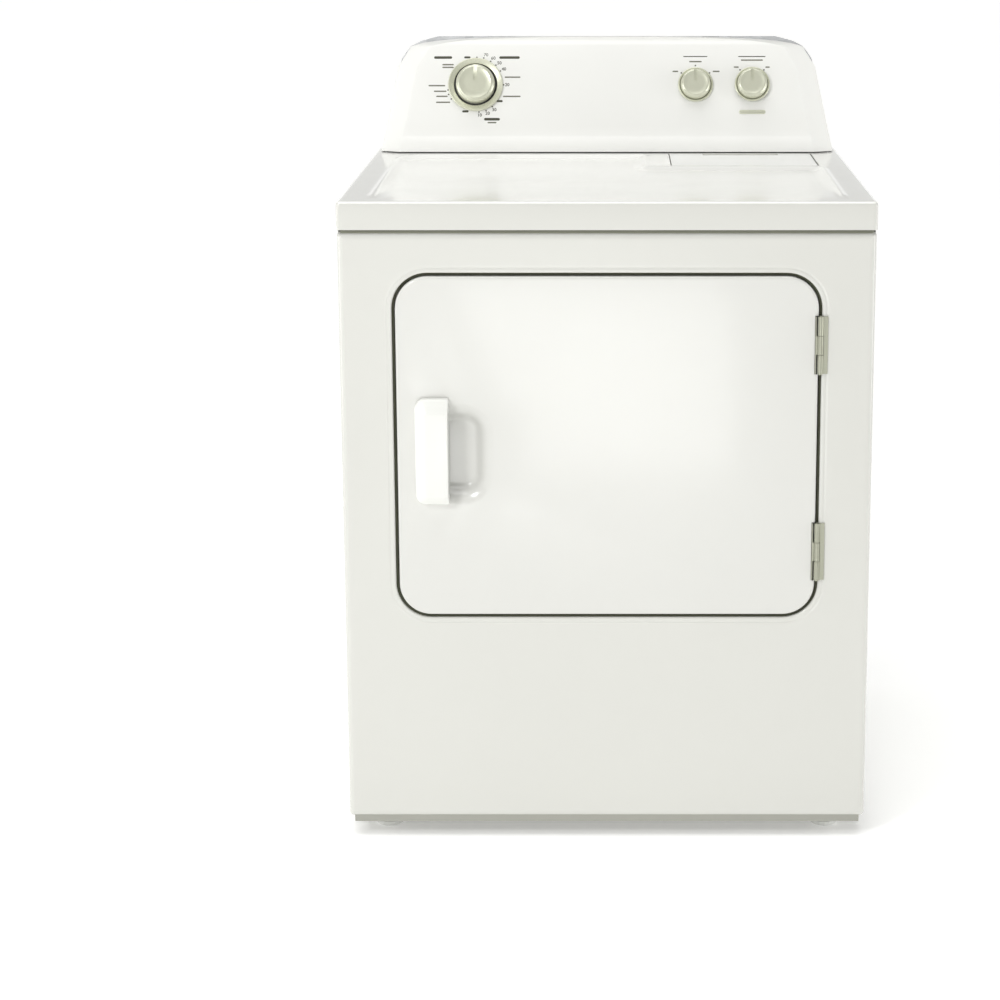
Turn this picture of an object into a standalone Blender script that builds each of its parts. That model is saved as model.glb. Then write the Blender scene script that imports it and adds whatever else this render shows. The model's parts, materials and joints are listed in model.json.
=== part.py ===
"""A front-loading clothes dryer with a sloped control console, modelled as separate pieces.

Metres, +X to the right, +Y to the back, +Z up. The origin is on the floor, under the middle of the
whole machine. Each piece is one named object, and each moving body's pieces hang from an empty on
that body's joint axis.
"""

from math import asin, atan2, cos, pi, radians, sin, sqrt

import bmesh
import bpy
from mathutils import Euler, Vector

# Cabinet
WIDTH = 0.7366
HEIGHT = 1.092
CABINET_TOP = 0.914
FRONT_Y = -0.3345
REAR_Y = 0.3435
SHEET = 0.0012
GAP = 0.0004
EDGE_RADIUS = 0.010
BOTTOM_Z = 0.030
TOP_SKIRT = 0.0389
BODY_TOP_Z = 0.872
SIDE_X = WIDTH / 2 - 0.0005
RETURN_DEPTH = 0.020
PAN_DEPTH = 0.030
TOE_INSET = 0.003
TOE_DROP = 0.008

# Feet
FOOT_X = 0.315
FOOT_Y = (-0.275, 0.290)
FOOT_RADIUS = 0.019
STEM_RADIUS = 0.005

# Door
DOOR_HALF = 0.2925
DOOR_LOW = 0.3294
DOOR_HIGH = 0.8138
DOOR_CORNER = 0.047
DOOR_GAP = 0.0046
DOOR_PROUD = 0.0015
DOOR_DEPTH = 0.020
LEDGE_DEPTH = 0.0248
HINGE_X = DOOR_HALF
HINGE_Y = FRONT_Y - 0.0030
HINGE_BARREL = 0.00425
HINGE_PIN = 0.0022
HINGES = {"upper": (0.6763, 0.7564), "lower": (0.3825, 0.4643)}
THROAT_HALF = 0.200
THROAT_LOW = 0.400
THROAT_HIGH = 0.745
THROAT_CORNER = 0.090

# Handle and the finger recess beside it
HANDLE_LEFT = -0.2645
HANDLE_RIGHT = -0.2182
HANDLE_LOW = 0.494
HANDLE_HIGH = 0.6426
HANDLE_FRONT = -0.3585
RECESS_RIGHT = -0.1695
RECESS_LOW = 0.4967
RECESS_HIGH = 0.6283
POCKET_DEPTH = 0.0175

# Drum
DRUM_Z = 0.525
DRUM_RADIUS = 0.333
DRUM_FRONT = -0.2745
DRUM_REAR = 0.170
FRONT_BULKHEAD_Y = -0.2895
REAR_BULKHEAD_Y = 0.176
BULKHEAD_HALF = 0.355
BULKHEAD_LOW = 0.062
ROLLER_RADIUS = 0.038
ROLLER_ANGLE = radians(38)

# Motor, belt and air path
MOTOR_X = 0.120
MOTOR_Z = 0.125
PULLEY_RADIUS = 0.0098
IDLER_X = -0.020
IDLER_Z = 0.115
IDLER_RADIUS = 0.022
ARM_PIVOT = (0.045, 0.070)
BELT_Y = (-0.040, -0.030)
BELT_THICKNESS = 0.0022
EXHAUST_X = -0.030
EXHAUST_Z = 0.118
EXHAUST_RADIUS = 0.0508
COLLAR_Y = 0.3585
BLOWER_Y = (0.112, 0.170)
LINT_LEFT = 0.098
LINT_RIGHT = 0.3215
LINT_FRONT = 0.0855
LINT_BACK = 0.2500
SCREEN_Y = 0.215
SCREEN_LOW = 0.480

# Console: how far its face leans back, and where its three knobs stand
CONSOLE_LOW = CABINET_TOP + GAP
CONSOLE_FRONT = 0.2555
CREASE_Y = 0.268
CREASE_Z = 0.941
LEAN = atan2(0.050, 0.134)
CONSOLE_WALL = 0.0025
CONSOLE_SHELL_REAR = 0.3411
KNOB_Z = 1.018
KNOB_STAND_OFF = 0.0009
START_STAND_OFF = 0.0040
TIMER_X = -0.209
TEMPERATURE_X = 0.141
START_X = 0.231
FACE_NORMAL = Vector((0, -cos(LEAN), sin(LEAN)))
FACE_TURN = Euler((pi / 2 - LEAN, 0, 0))
# Half-width and front face of the console at each height
CONSOLE_SECTIONS = (
    (CONSOLE_LOW, 0.3590, CONSOLE_FRONT),
    (0.926, 0.3572, 0.2590),
    (CREASE_Z, 0.3546, CREASE_Y),
    (0.970, 0.3488, 0.2788),
    (1.008, 0.3416, 0.2930),
    (1.037, 0.3357, 0.3038),
    (1.056, 0.3296, 0.3109),
    (1.066, 0.3230, 0.3147),
    (1.076, 0.3150, 0.3190),
    (1.0845, 0.2990, 0.3240),
    (HEIGHT, 0.2700, 0.3335),
)


def clear_scene():
    for obj in list(bpy.data.objects):
        bpy.data.objects.remove(obj, do_unlink=True)


def collection(name):
    made = bpy.data.collections.new(name)
    bpy.context.scene.collection.children.link(made)
    return made


clear_scene()
PARTS = collection("clothes_dryer")
CUTTERS = collection("cutters")


def material(name, colour, roughness, metallic=0.0):
    made = bpy.data.materials.new(name)
    made.use_nodes = True
    shader = made.node_tree.nodes["Principled BSDF"]
    shader.inputs["Base Color"].default_value = (*colour, 1)
    shader.inputs["Roughness"].default_value = roughness
    shader.inputs["Metallic"].default_value = metallic
    return made


ENAMEL = material("white_enamel", (0.83, 0.83, 0.78), 0.25)
DOOR_ENAMEL = material("door_enamel", (0.88, 0.89, 0.85), 0.25)
CONSOLE_WHITE = material("console_plastic", (0.92, 0.92, 0.90), 0.35)
HANDLE_WHITE = material("handle_plastic", (0.88, 0.88, 0.84), 0.35)
CHAMPAGNE = material("knob_champagne", (0.45, 0.43, 0.32), 0.35, 0.6)
HINGE_STEEL = material("hinge_steel", (0.42, 0.42, 0.40), 0.35, 1.0)
ZINC = material("galvanised_steel", (0.52, 0.53, 0.54), 0.45, 1.0)
DRUM_ENAMEL = material("drum_enamel", (0.80, 0.81, 0.80), 0.30)
BASE_STEEL = material("dark_base_steel", (0.07, 0.07, 0.06), 0.5, 0.3)
BLACK = material("black_plastic", (0.03, 0.03, 0.03), 0.5)
GREY = material("grey_plastic", (0.30, 0.31, 0.31), 0.5)
FOOT_PLASTIC = material("foot_plastic", (0.70, 0.70, 0.67), 0.5)
RUBBER = material("rubber", (0.05, 0.05, 0.05), 0.8)
FELT = material("felt", (0.45, 0.43, 0.40), 0.95)
MOTOR_PAINT = material("motor_steel", (0.20, 0.21, 0.22), 0.5, 0.8)


def empty(name, place, turn=None):
    """An axis that a moving body's pieces hang from."""
    made = bpy.data.objects.new(name, None)
    made.empty_display_size = 0.05
    made.location = place
    if turn is not None:
        made.rotation_euler = turn
    PARTS.objects.link(made)
    bpy.context.view_layer.update()
    return made


def link(mesh, name, finish, axis=None):
    """An object of this mesh: a piece if it has a finish, and otherwise a cutter."""
    obj = bpy.data.objects.new(name, mesh)
    if finish:
        mesh.materials.append(finish)
        PARTS.objects.link(obj)
    else:
        CUTTERS.objects.link(obj)
        obj.hide_render = True
        obj.display_type = "WIRE"
    if axis:
        obj.parent = axis
        obj.matrix_parent_inverse = axis.matrix_world.inverted()
    return obj


def smooth(obj, angle=35):
    obj.data.shade_smooth()
    obj.data.set_sharp_from_angle(angle=radians(angle))
    return obj


def box(name, low, high, finish=None, axis=None, bevel=0.0):
    """A block between two opposite corners."""
    bm = bmesh.new()
    bmesh.ops.create_cube(bm, size=1)
    low, high = Vector(low), Vector(high)
    size = high - low
    bmesh.ops.scale(bm, vec=size, verts=bm.verts)
    mesh = bpy.data.meshes.new(name)
    bm.to_mesh(mesh)
    bm.free()
    obj = link(mesh, name, finish, axis)
    obj.location = (low + high) / 2
    if bevel:
        edge = obj.modifiers.new("edge", "BEVEL")
        edge.width = bevel
        edge.segments = 2
    return obj


def cylinder(name, radius, start, end, finish=None, axis=None, segments=32, tip=None):
    """A round bar, or a cone where tip is given, between two points."""
    start, end = Vector(start), Vector(end)
    bm = bmesh.new()
    tip = radius if tip is None else tip
    length = (end - start).length
    bmesh.ops.create_cone(
        bm, cap_ends=True, segments=segments, radius1=radius, radius2=tip, depth=length
    )
    mesh = bpy.data.meshes.new(name)
    bm.to_mesh(mesh)
    bm.free()
    obj = link(mesh, name, finish, axis)
    obj.location = (start + end) / 2
    obj.rotation_euler = (end - start).to_track_quat("Z", "Y").to_euler()
    return smooth(obj)


def rounded(left, right, low, high, radius, steps=6):
    """The outline of a rectangle with round corners, anticlockwise."""
    corners = (
        (right - radius, low + radius, -90),
        (right - radius, high - radius, 0),
        (left + radius, high - radius, 90),
        (left + radius, low + radius, 180),
    )
    return [
        (x + radius * cos(radians(start + 90 * i / steps)),
         y + radius * sin(radians(start + 90 * i / steps)))
        for x, y, start in corners
        for i in range(steps + 1)
    ]


def plate(name, outlines, low, high, finish=None, normal="Z", axis=None):
    """Flat outlines, the later ones holes, extruded along Z or along Y (then in X and Z)."""
    curve = bpy.data.curves.new(name, "CURVE")
    curve.dimensions = "2D"
    curve.fill_mode = "BOTH"
    curve.extrude = (high - low) / 2
    for outline in outlines:
        spline = curve.splines.new("POLY")
        spline.points.add(len(outline) - 1)
        for point, (x, y) in zip(spline.points, outline):
            point.co = (x, y, 0, 1)
        spline.use_cyclic_u = True
    shape = bpy.data.objects.new(name, curve)
    if normal == "Y":
        shape.rotation_euler = (pi / 2, 0, 0)
        shape.location = (0, (low + high) / 2, 0)
    else:
        shape.location = (0, 0, (low + high) / 2)
    return meshed(shape, name, finish, axis)


def meshed(shape, name, finish, axis):
    """The curve object as a mesh object with welded caps, because a Boolean takes no curve."""
    bpy.context.scene.collection.objects.link(shape)
    bpy.context.view_layer.update()
    evaluated = shape.evaluated_get(bpy.context.evaluated_depsgraph_get())
    mesh = bpy.data.meshes.new_from_object(evaluated)
    bm = bmesh.new()
    bm.from_mesh(mesh)
    bmesh.ops.remove_doubles(bm, verts=bm.verts, dist=1e-6)
    bmesh.ops.recalc_face_normals(bm, faces=bm.faces)
    bm.to_mesh(mesh)
    bm.free()
    place = shape.matrix_world.copy()
    bpy.data.objects.remove(shape, do_unlink=True)
    obj = link(mesh, name, finish, axis)
    obj.matrix_basis = place
    return obj


def tube(name, points, radius, finish=None, axis=None, resolution=2):
    """A round wire or rod through points."""
    curve = bpy.data.curves.new(name, "CURVE")
    curve.dimensions = "3D"
    curve.bevel_depth = radius
    curve.bevel_resolution = resolution
    curve.use_fill_caps = True
    spline = curve.splines.new("POLY")
    spline.points.add(len(points) - 1)
    for point, place in zip(spline.points, points):
        point.co = (*place, 1)
    shape = bpy.data.objects.new(name, curve)
    return meshed(shape, name, finish, axis)


def turned(name, profile, place, turn, finish=None, axis=None, steps=40):
    """A solid of revolution: profile is (radius, height) down its outer side, about local Z."""
    mesh = bpy.data.meshes.new(name)
    edges = [(i, i + 1) for i in range(len(profile) - 1)]
    if profile[0][0] > 0:
        edges.append((len(profile) - 1, 0))
    mesh.from_pydata([(radius, 0, height) for radius, height in profile], edges, [])
    obj = link(mesh, name, finish, axis)
    obj.location = place
    obj.rotation_euler = turn
    screw = obj.modifiers.new("turn", "SCREW")
    screw.axis = "Z"
    screw.steps = steps
    screw.render_steps = steps
    screw.use_merge_vertices = True
    screw.merge_threshold = 0.0001
    screw.use_smooth_shade = True
    return obj


def loft(name, rings, finish=None):
    """A solid through rings of equally many points, closed at both ends."""
    bm = bmesh.new()
    rows = [[bm.verts.new(point) for point in ring] for ring in rings]
    count = len(rings[0])
    for lower, upper in zip(rows, rows[1:]):
        for i in range(count):
            j = (i + 1) % count
            bm.faces.new((lower[i], lower[j], upper[j], upper[i]))
    bm.faces.new(rows[0])
    bm.faces.new(rows[-1])
    bmesh.ops.recalc_face_normals(bm, faces=bm.faces)
    mesh = bpy.data.meshes.new(name)
    bm.to_mesh(mesh)
    bm.free()
    return smooth(link(mesh, name, finish), 40)


def combine(obj, other, operation):
    modifier = obj.modifiers.new(other.name, "BOOLEAN")
    modifier.operation = operation
    modifier.object = other
    return obj


def cut(obj, *cutters):
    for cutter in cutters:
        combine(obj, cutter, "DIFFERENCE")
    return obj


def add(obj, *others):
    for other in others:
        combine(obj, other, "UNION")
    return obj


def console_face(x, z, out=0.0):
    """The point on the console's sloped face at this width and height, this far out from it."""
    y = CREASE_Y + (z - CREASE_Z) * sin(LEAN) / cos(LEAN)
    return Vector((x, y, z)) + out * FACE_NORMAL


def hull(circles, steps=48):
    """The belt line around circles (x, z, radius), as the convex hull of their points."""
    points = sorted(
        (x + radius * cos(2 * pi * i / steps), z + radius * sin(2 * pi * i / steps))
        for x, z, radius in circles
        for i in range(steps)
    )

    def half(ordered):
        chain = []
        for point in ordered:
            while len(chain) > 1 and turns_right(chain[-2], chain[-1], point):
                chain.pop()
            chain.append(point)
        return chain[:-1]

    return half(points) + half(points[::-1])


def turns_right(a, b, c):
    return (b[0] - a[0]) * (c[1] - a[1]) - (b[1] - a[1]) * (c[0] - a[0]) <= 1e-12


# ---- Cabinet ----


def base_pan():
    """The floor of the machine, with its toe flange showing below the front panel."""
    half = SIDE_X - SHEET - 0.0006
    front, back = FRONT_Y + RETURN_DEPTH + 0.002, REAR_Y - 0.0035
    pan = box("base_pan", (-half, front, BOTTOM_Z), (half, back, BOTTOM_Z + PAN_DEPTH),
              BASE_STEEL)
    inner = half - SHEET
    cut(pan, box("pan_hollow", (-inner, front + SHEET, BOTTOM_Z + SHEET),
                 (inner, back - SHEET, BOTTOM_Z + PAN_DEPTH + 0.01)))
    toe, toe_half = FRONT_Y + TOE_INSET, SIDE_X - 0.0075
    add(pan, box("toe_floor", (-toe_half, toe, BOTTOM_Z), (toe_half, front + 0.0006, BOTTOM_Z + SHEET)))
    add(pan, box("toe_flange", (-toe_half, toe, BOTTOM_Z - TOE_DROP),
                 (toe_half, toe + SHEET, BOTTOM_Z + 0.018)))
    for side in (-1, 1):
        for y in FOOT_Y:
            cut(pan, cylinder("foot_hole", STEM_RADIUS + 0.0006, (side * FOOT_X, y, 0.02),
                              (side * FOOT_X, y, 0.05), segments=20))


def side_panels():
    front, back = FRONT_Y + RETURN_DEPTH + 0.0004, REAR_Y - SHEET - GAP
    flange = 0.014
    for side, name in ((-1, "left_side_panel"), (1, "right_side_panel")):
        outer, inner = side * SIDE_X, side * (SIDE_X - SHEET)
        lip = side * (SIDE_X - flange)
        outline = [(outer, front), (outer, back), (lip, back), (lip, back - SHEET),
                   (inner, back - SHEET), (inner, front)]
        plate(name, [outline], BOTTOM_Z, BODY_TOP_Z + 0.0025, ENAMEL)


def front_panel():
    """The face with returned edges, the pressed tray that the door closes into, and its throat."""
    back = FRONT_Y + RETURN_DEPTH
    outline = bent_sheet(SIDE_X, FRONT_Y, back, EDGE_RADIUS)
    panel = plate("front_panel", [outline], BOTTOM_Z, BODY_TOP_Z, ENAMEL)
    hole = DOOR_HALF + DOOR_GAP / 2
    tray = door_outline(DOOR_GAP / 2 + SHEET)
    cavity = door_outline(DOOR_GAP / 2)
    floor = FRONT_Y + LEDGE_DEPTH
    add(panel, plate("tray", [tray], FRONT_Y + 0.0002, floor + SHEET, normal="Y"))
    cut(panel, plate("tray_hollow", [cavity], FRONT_Y - 0.01, floor, normal="Y"))
    throat = rounded(-THROAT_HALF, THROAT_HALF, THROAT_LOW, THROAT_HIGH, THROAT_CORNER, 8)
    cut(panel, plate("throat", [throat], floor - 0.01, floor + 0.01, normal="Y"))
    cut(panel, box("catch_window", (-0.256, floor - 0.01, 0.556), (-0.234, floor + 0.01, 0.584)))
    cut(panel, cylinder("switch_window", 0.0060, (0.25, floor - 0.01, 0.72),
                        (0.25, floor + 0.01, 0.72), segments=20))
    for name, (bottom, top) in HINGES.items():
        cut(panel, box(f"{name}_hinge_notch", (hole - 0.006, FRONT_Y - 0.01, bottom - 0.001),
                       (hole + 0.0027, FRONT_Y + 0.0045, top + 0.001)))


def door_outline(grow, steps=8):
    """The door gap's centre line, moved outwards by grow."""
    return rounded(-DOOR_HALF - grow, DOOR_HALF + grow, DOOR_LOW - grow, DOOR_HIGH + grow,
                   DOOR_CORNER + grow, steps)


def bent_sheet(half, front, back, radius, steps=5):
    """A sheet's plan: a wide front face with both edges bent back."""
    def side(thickness):
        edge = half - thickness
        bend = radius - thickness
        arc = [
            (half - radius + bend * sin(radians(90 * i / steps)),
             front + radius - bend * cos(radians(90 * i / steps)))
            for i in range(steps + 1)
        ]
        return arc + [(edge, back)]

    outer, inner = side(0), side(SHEET)
    left_outer = [(-x, y) for x, y in outer]
    left_inner = [(-x, y) for x, y in inner]
    return outer + inner[::-1] + left_inner + left_outer[::-1]


def top_panel():
    """The top with its skirt, a shallow dished field, and the pocket that the lint cover sits in."""
    half, front = WIDTH / 2, FRONT_Y - 0.0005
    low = CABINET_TOP - TOP_SKIRT
    panel = plate("top_panel", [rounded(-half, half, front, REAR_Y, 0.010, 4)], low,
                  CABINET_TOP, ENAMEL)
    under = CABINET_TOP - 0.0052
    inside = rounded(-half + SHEET, half - SHEET, front + SHEET, REAR_Y - SHEET, 0.0088, 4)
    cut(panel, plate("top_hollow", [inside], low - 0.01, under))
    pocket_floor = CABINET_TOP - 0.0112
    block = box("pocket_block", (LINT_LEFT - 0.003, LINT_FRONT - 0.003, pocket_floor - SHEET),
                (LINT_RIGHT + 0.003, LINT_BACK + 0.003, under + 0.001))
    add(panel, block)
    cut(panel, box("pocket", (LINT_LEFT - 0.001, LINT_FRONT - 0.001, pocket_floor),
                   (LINT_RIGHT + 0.001, LINT_BACK + 0.001, CABINET_TOP + 0.01)))
    cut(panel, box("screen_slot", (LINT_LEFT + 0.010, SCREEN_Y - 0.012, pocket_floor - 0.01),
                   (LINT_RIGHT - 0.010, SCREEN_Y + 0.012, pocket_floor + 0.01)))
    field = [(-0.3225, -0.290), (0.3245, -0.290), (0.3245, 0.050), (0.310, 0.0655),
             (0.058, 0.0655), (0.058, 0.2205), (-0.285, 0.2205), (-0.3225, 0.180)]
    dish = plate("field", [field], CABINET_TOP, CABINET_TOP + 0.02)
    slope = asin(0.0035 / 0.50)
    dish.rotation_euler = (-slope, 0, 0)
    dish.location = (0, 0, CABINET_TOP + 0.01 - 0.290 * slope)
    cut(panel, dish)


def rear_panel():
    back, front = REAR_Y, REAR_Y - SHEET
    half = SIDE_X - 0.0006
    exhaust = [(EXHAUST_X + (EXHAUST_RADIUS + 0.001) * cos(2 * pi * i / 40),
                EXHAUST_Z + (EXHAUST_RADIUS + 0.001) * sin(2 * pi * i / 40)) for i in range(40)]
    window = rounded(0.225, 0.285, 0.770, 0.840, 0.006, 2)
    louvres = [
        rounded(x, x + 0.060, z, z + 0.008, 0.0035, 2)
        for x in (-0.30, -0.21)
        for z in (0.16, 0.19, 0.22, 0.25)
    ]
    sheet = rounded(-half, half, BOTTOM_Z, BODY_TOP_Z + 0.0025, 0.002, 1)
    plate("rear_panel", [sheet, exhaust, window] + louvres, front, back, ZINC, "Y")


def feet():
    for side, across in ((-1, "left"), (1, "right")):
        for y, along in zip(FOOT_Y, ("front", "rear")):
            x = side * FOOT_X
            name = f"{along}_{across}_foot"
            axis = empty(f"{name}_axis", (x, y, 0))
            profile = [(0, 0.056), (STEM_RADIUS, 0.056), (STEM_RADIUS, 0.014),
                       (FOOT_RADIUS * 0.6, 0.012), (FOOT_RADIUS, 0.006), (FOOT_RADIUS, 0.0),
                       (0, 0.0)]
            turned(name, profile, (x, y, 0), (0, 0, 0), FOOT_PLASTIC, axis, 16)


def front_bulkhead():
    """The sheet behind the front panel, with the throat collar and the ring that the drum runs on."""
    y = FRONT_BULKHEAD_Y
    sheet = rounded(-BULKHEAD_HALF, BULKHEAD_HALF, BULKHEAD_LOW, BODY_TOP_Z - 0.003, 0.01, 2)
    bulkhead = plate("front_bulkhead", [sheet], y, y + SHEET, ZINC, "Y")
    collar = rounded(-THROAT_HALF - SHEET, THROAT_HALF + SHEET, THROAT_LOW - SHEET,
                     THROAT_HIGH + SHEET, THROAT_CORNER + SHEET, 8)
    throat = rounded(-THROAT_HALF, THROAT_HALF, THROAT_LOW, THROAT_HIGH, THROAT_CORNER, 8)
    ring = DRUM_RADIUS - SHEET - 0.0032
    add(bulkhead, plate("collar", [collar], FRONT_Y + LEDGE_DEPTH + SHEET + GAP, y + SHEET / 2,
                        normal="Y"))
    flange = cylinder("ring", ring, (0, y + SHEET / 2, DRUM_Z), (0, y + 0.024, DRUM_Z), segments=48)
    add(bulkhead, flange)
    cut(bulkhead, cylinder("ring_hollow", ring - SHEET, (0, y + SHEET, DRUM_Z),
                           (0, y + 0.03, DRUM_Z), segments=48))
    cut(bulkhead, plate("throat_way", [throat], y - 0.03, y + 0.03, normal="Y"))


def drum_rings():
    """The glide ring at the front of the drum, and the felt seal at its back."""
    y = FRONT_BULKHEAD_Y
    inner = DRUM_RADIUS - SHEET - 0.0028
    outer = DRUM_RADIUS - SHEET - 0.0013
    profile = [(outer, 0.008), (outer, -0.008), (inner, -0.008), (inner, 0.008)]
    turned("front_glide_ring", profile, (0, y + 0.0235, DRUM_Z), (pi / 2, 0, 0), GREY, steps=48)
    outer = DRUM_RADIUS
    inner = DRUM_RADIUS - 0.018
    rear = REAR_BULKHEAD_Y - GAP
    profile = [(outer, 0), (outer, -0.0048), (inner, -0.0048), (inner, 0)]
    turned("rear_felt_seal", profile, (0, rear - 0.0048, DRUM_Z), (pi / 2, 0, 0), FELT, steps=48)


def rear_bulkhead():
    """The sheet behind the drum, with the air inlet, the outlet grille and the blower's way in."""
    y = REAR_BULKHEAD_Y
    sheet = rounded(-BULKHEAD_HALF, BULKHEAD_HALF, BULKHEAD_LOW, BODY_TOP_Z - 0.003, 0.01, 2)
    inlets = [
        rounded(x, x + 0.022, z, z + 0.022, 0.008, 2)
        for x in (-0.235, -0.205, -0.175)
        for z in (0.50, 0.53, 0.56, 0.59)
    ]
    outlets = [rounded(0.125, 0.265, z, z + 0.012, 0.005, 2) for z in (0.49, 0.52, 0.55, 0.58)]
    exhaust = circle(EXHAUST_X, EXHAUST_Z, EXHAUST_RADIUS + 0.001)
    inlet = circle(MOTOR_X, MOTOR_Z, 0.040)
    plate("rear_bulkhead", [sheet, exhaust, inlet] + inlets + outlets, y, y + SHEET, ZINC, "Y")


def circle(x, z, radius, steps=32):
    return [(x + radius * cos(2 * pi * i / steps), z + radius * sin(2 * pi * i / steps))
            for i in range(steps)]


# ---- Console ----


def console_ring(z, half, front, back, corner, steps=4):
    """One level of the console: straight back, round front corners."""
    right = [
        (half - corner + corner * cos(radians(-90 * i / steps)),
         front + corner + corner * sin(radians(-90 * i / steps)))
        for i in range(steps + 1)
    ]
    left = [(-x, y) for x, y in right[::-1]]
    outline = [(half, back)] + right + left + [(-half, back)]
    return [(x, y, z) for x, y in outline]


def console():
    corner = 0.0075
    outer = [
        console_ring(z, half, front, CONSOLE_SHELL_REAR, corner)
        for z, half, front in CONSOLE_SECTIONS
    ]
    fascia = loft("console_fascia", outer, CONSOLE_WHITE)
    wall = CONSOLE_WALL
    inner = [
        console_ring(min(z, HEIGHT - wall) - (0.01 if i == 0 else 0), half - wall, front + wall,
                     REAR_Y + 0.01, corner - wall)
        for i, (z, half, front) in enumerate(CONSOLE_SECTIONS)
    ]
    cut(fascia, loft("console_hollow", inner))
    for x in (TIMER_X, TEMPERATURE_X, START_X):
        cut(fascia, cylinder("shaft_hole", 0.0060, console_face(x, KNOB_Z, -0.02),
                             console_face(x, KNOB_Z, 0.02), segments=20))
    right = [(half - 0.001, z) for z, half, _ in CONSOLE_SECTIONS]
    outline = right + [(-x, z) for x, z in right[::-1]]
    plate("console_rear_cover", [outline], CONSOLE_SHELL_REAR + GAP, REAR_Y, ZINC, "Y")


def console_works():
    """The timer and the two switches, each on its knob's axis behind the sloped face."""
    for name, x, size, depth in (("timer_body", TIMER_X, 0.026, 0.022),
                                 ("temperature_switch", TEMPERATURE_X, 0.018, 0.022),
                                 ("start_switch", START_X, 0.018, 0.022)):
        start = console_face(x, KNOB_Z, -0.008)
        end = console_face(x, KNOB_Z, -0.008 - depth)
        works = cylinder(name, size, start, end, GREY, segments=8)
        cut(works, cylinder(f"{name}_bore", 0.0048, console_face(x, KNOB_Z, 0.01),
                            console_face(x, KNOB_Z, -0.024), segments=16))


def knob(name, x, skirt, cap, height, stand_off, stem, axis):
    """A knob with a wide skirt, a tapered cap with a pointer groove, and a stem if it has one."""
    top = stand_off + height
    profile = [(0, top), (cap * 0.90, top), (cap, top - 0.0025), (cap * 1.04, stand_off + 0.0060),
               (skirt * 0.97, stand_off + 0.0048), (skirt, stand_off + 0.0028),
               (skirt, stand_off)]
    if stem:
        profile += [(stem, stand_off), (stem, -0.022), (0, -0.022)]
    else:
        profile.append((0, stand_off))
    body = turned(name, profile, console_face(x, KNOB_Z), FACE_TURN, CHAMPAGNE, axis, 32)
    groove = box(f"{name}_groove", (-0.0022, cap * 0.22, top - 0.0012),
                 (0.0022, cap * 1.2, top + 0.003))
    middle = groove.location.copy()
    groove.rotation_euler = FACE_TURN
    groove.location = console_face(x, KNOB_Z) + FACE_TURN.to_matrix() @ middle
    return cut(body, groove)


def knobs():
    """The timer and temperature knobs on their stems, and the start knob on its push shaft."""
    for name, x, skirt, cap, height in (("timer_knob", TIMER_X, 0.0425, 0.0308, 0.0165),
                                        ("temperature_knob", TEMPERATURE_X, 0.0282, 0.0235, 0.0150)):
        axis = empty(f"{name}_axis", console_face(x, KNOB_Z), FACE_TURN)
        knob(name, x, skirt, cap, height, KNOB_STAND_OFF, 0.0040, axis)
    axis = empty("start_axis", console_face(START_X, KNOB_Z), FACE_TURN)
    start = knob("start_knob", START_X, 0.0282, 0.0235, 0.0150, START_STAND_OFF, 0, axis)
    socket_end = START_STAND_OFF + 0.0117
    cut(start, cylinder("start_socket", 0.0045, console_face(START_X, KNOB_Z, -0.01),
                        console_face(START_X, KNOB_Z, socket_end), segments=16))
    cylinder("start_shaft", 0.0040, console_face(START_X, KNOB_Z, -0.019),
             console_face(START_X, KNOB_Z, socket_end - 0.0005), GREY, axis, segments=16)


# ---- Door ----


def door(axis):
    outer_y = FRONT_Y - DOOR_PROUD
    back = outer_y + DOOR_DEPTH
    panel = plate("door_outer_panel", [door_outline(-DOOR_GAP / 2)], outer_y, back, DOOR_ENAMEL,
                  "Y", axis)
    inside = door_outline(-DOOR_GAP / 2 - SHEET)
    cut(panel, plate("door_hollow", [inside], outer_y + SHEET, back + 0.01, normal="Y"))
    pocket = rounded(HANDLE_LEFT + 0.016, RECESS_RIGHT, RECESS_LOW, RECESS_HIGH, 0.012, 4)
    shell = rounded(HANDLE_LEFT + 0.016 - SHEET, RECESS_RIGHT + SHEET, RECESS_LOW - SHEET,
                    RECESS_HIGH + SHEET, 0.012 + SHEET, 4)
    floor = outer_y + POCKET_DEPTH
    add(panel, plate("pocket_shell", [shell], outer_y + SHEET / 2, floor + SHEET, normal="Y"))
    cut(panel, plate("finger_pocket", [pocket], outer_y - 0.01, floor, normal="Y"))
    inner_y = back + GAP
    inner = plate("door_inner_panel", [door_outline(-DOOR_GAP / 2 - 0.001)], inner_y,
                  inner_y + 0.0035, ENAMEL, "Y", axis)
    dish = rounded(-0.165, 0.165, 0.435, 0.710, 0.06, 6)
    hollow = rounded(-0.162, 0.162, 0.438, 0.707, 0.057, 6)
    add(inner, plate("door_dish", [dish], inner_y + 0.001, inner_y + 0.020, normal="Y"))
    cut(inner, plate("dish_hollow", [hollow], inner_y - 0.01, inner_y + 0.0175, normal="Y"))
    for name, (bottom, top) in HINGES.items():
        notch = box(f"{name}_door_notch", (HINGE_X - 0.0075, outer_y - 0.01, bottom - 0.001),
                    (HINGE_X + 0.01, back + 0.02, top + 0.001))
        cut(panel, notch)
        cut(inner, notch)
    seal = rounded(-0.225, 0.225, 0.375, 0.770, 0.105, 8)
    seal_inner = rounded(-0.213, 0.213, 0.387, 0.758, 0.093, 8)
    face = inner_y + 0.0035 + GAP
    plate("door_seal", [seal, seal_inner], face, FRONT_Y + LEDGE_DEPTH - GAP, FELT, "Y", axis)
    strike = box("door_strike", (-0.2475, face, 0.564), (-0.2425, face + 0.012, 0.576),
                 HINGE_STEEL, axis)
    add(strike, box("strike_foot", (-0.2535, face, 0.560), (-0.2365, face + 0.0015, 0.580)))


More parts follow.
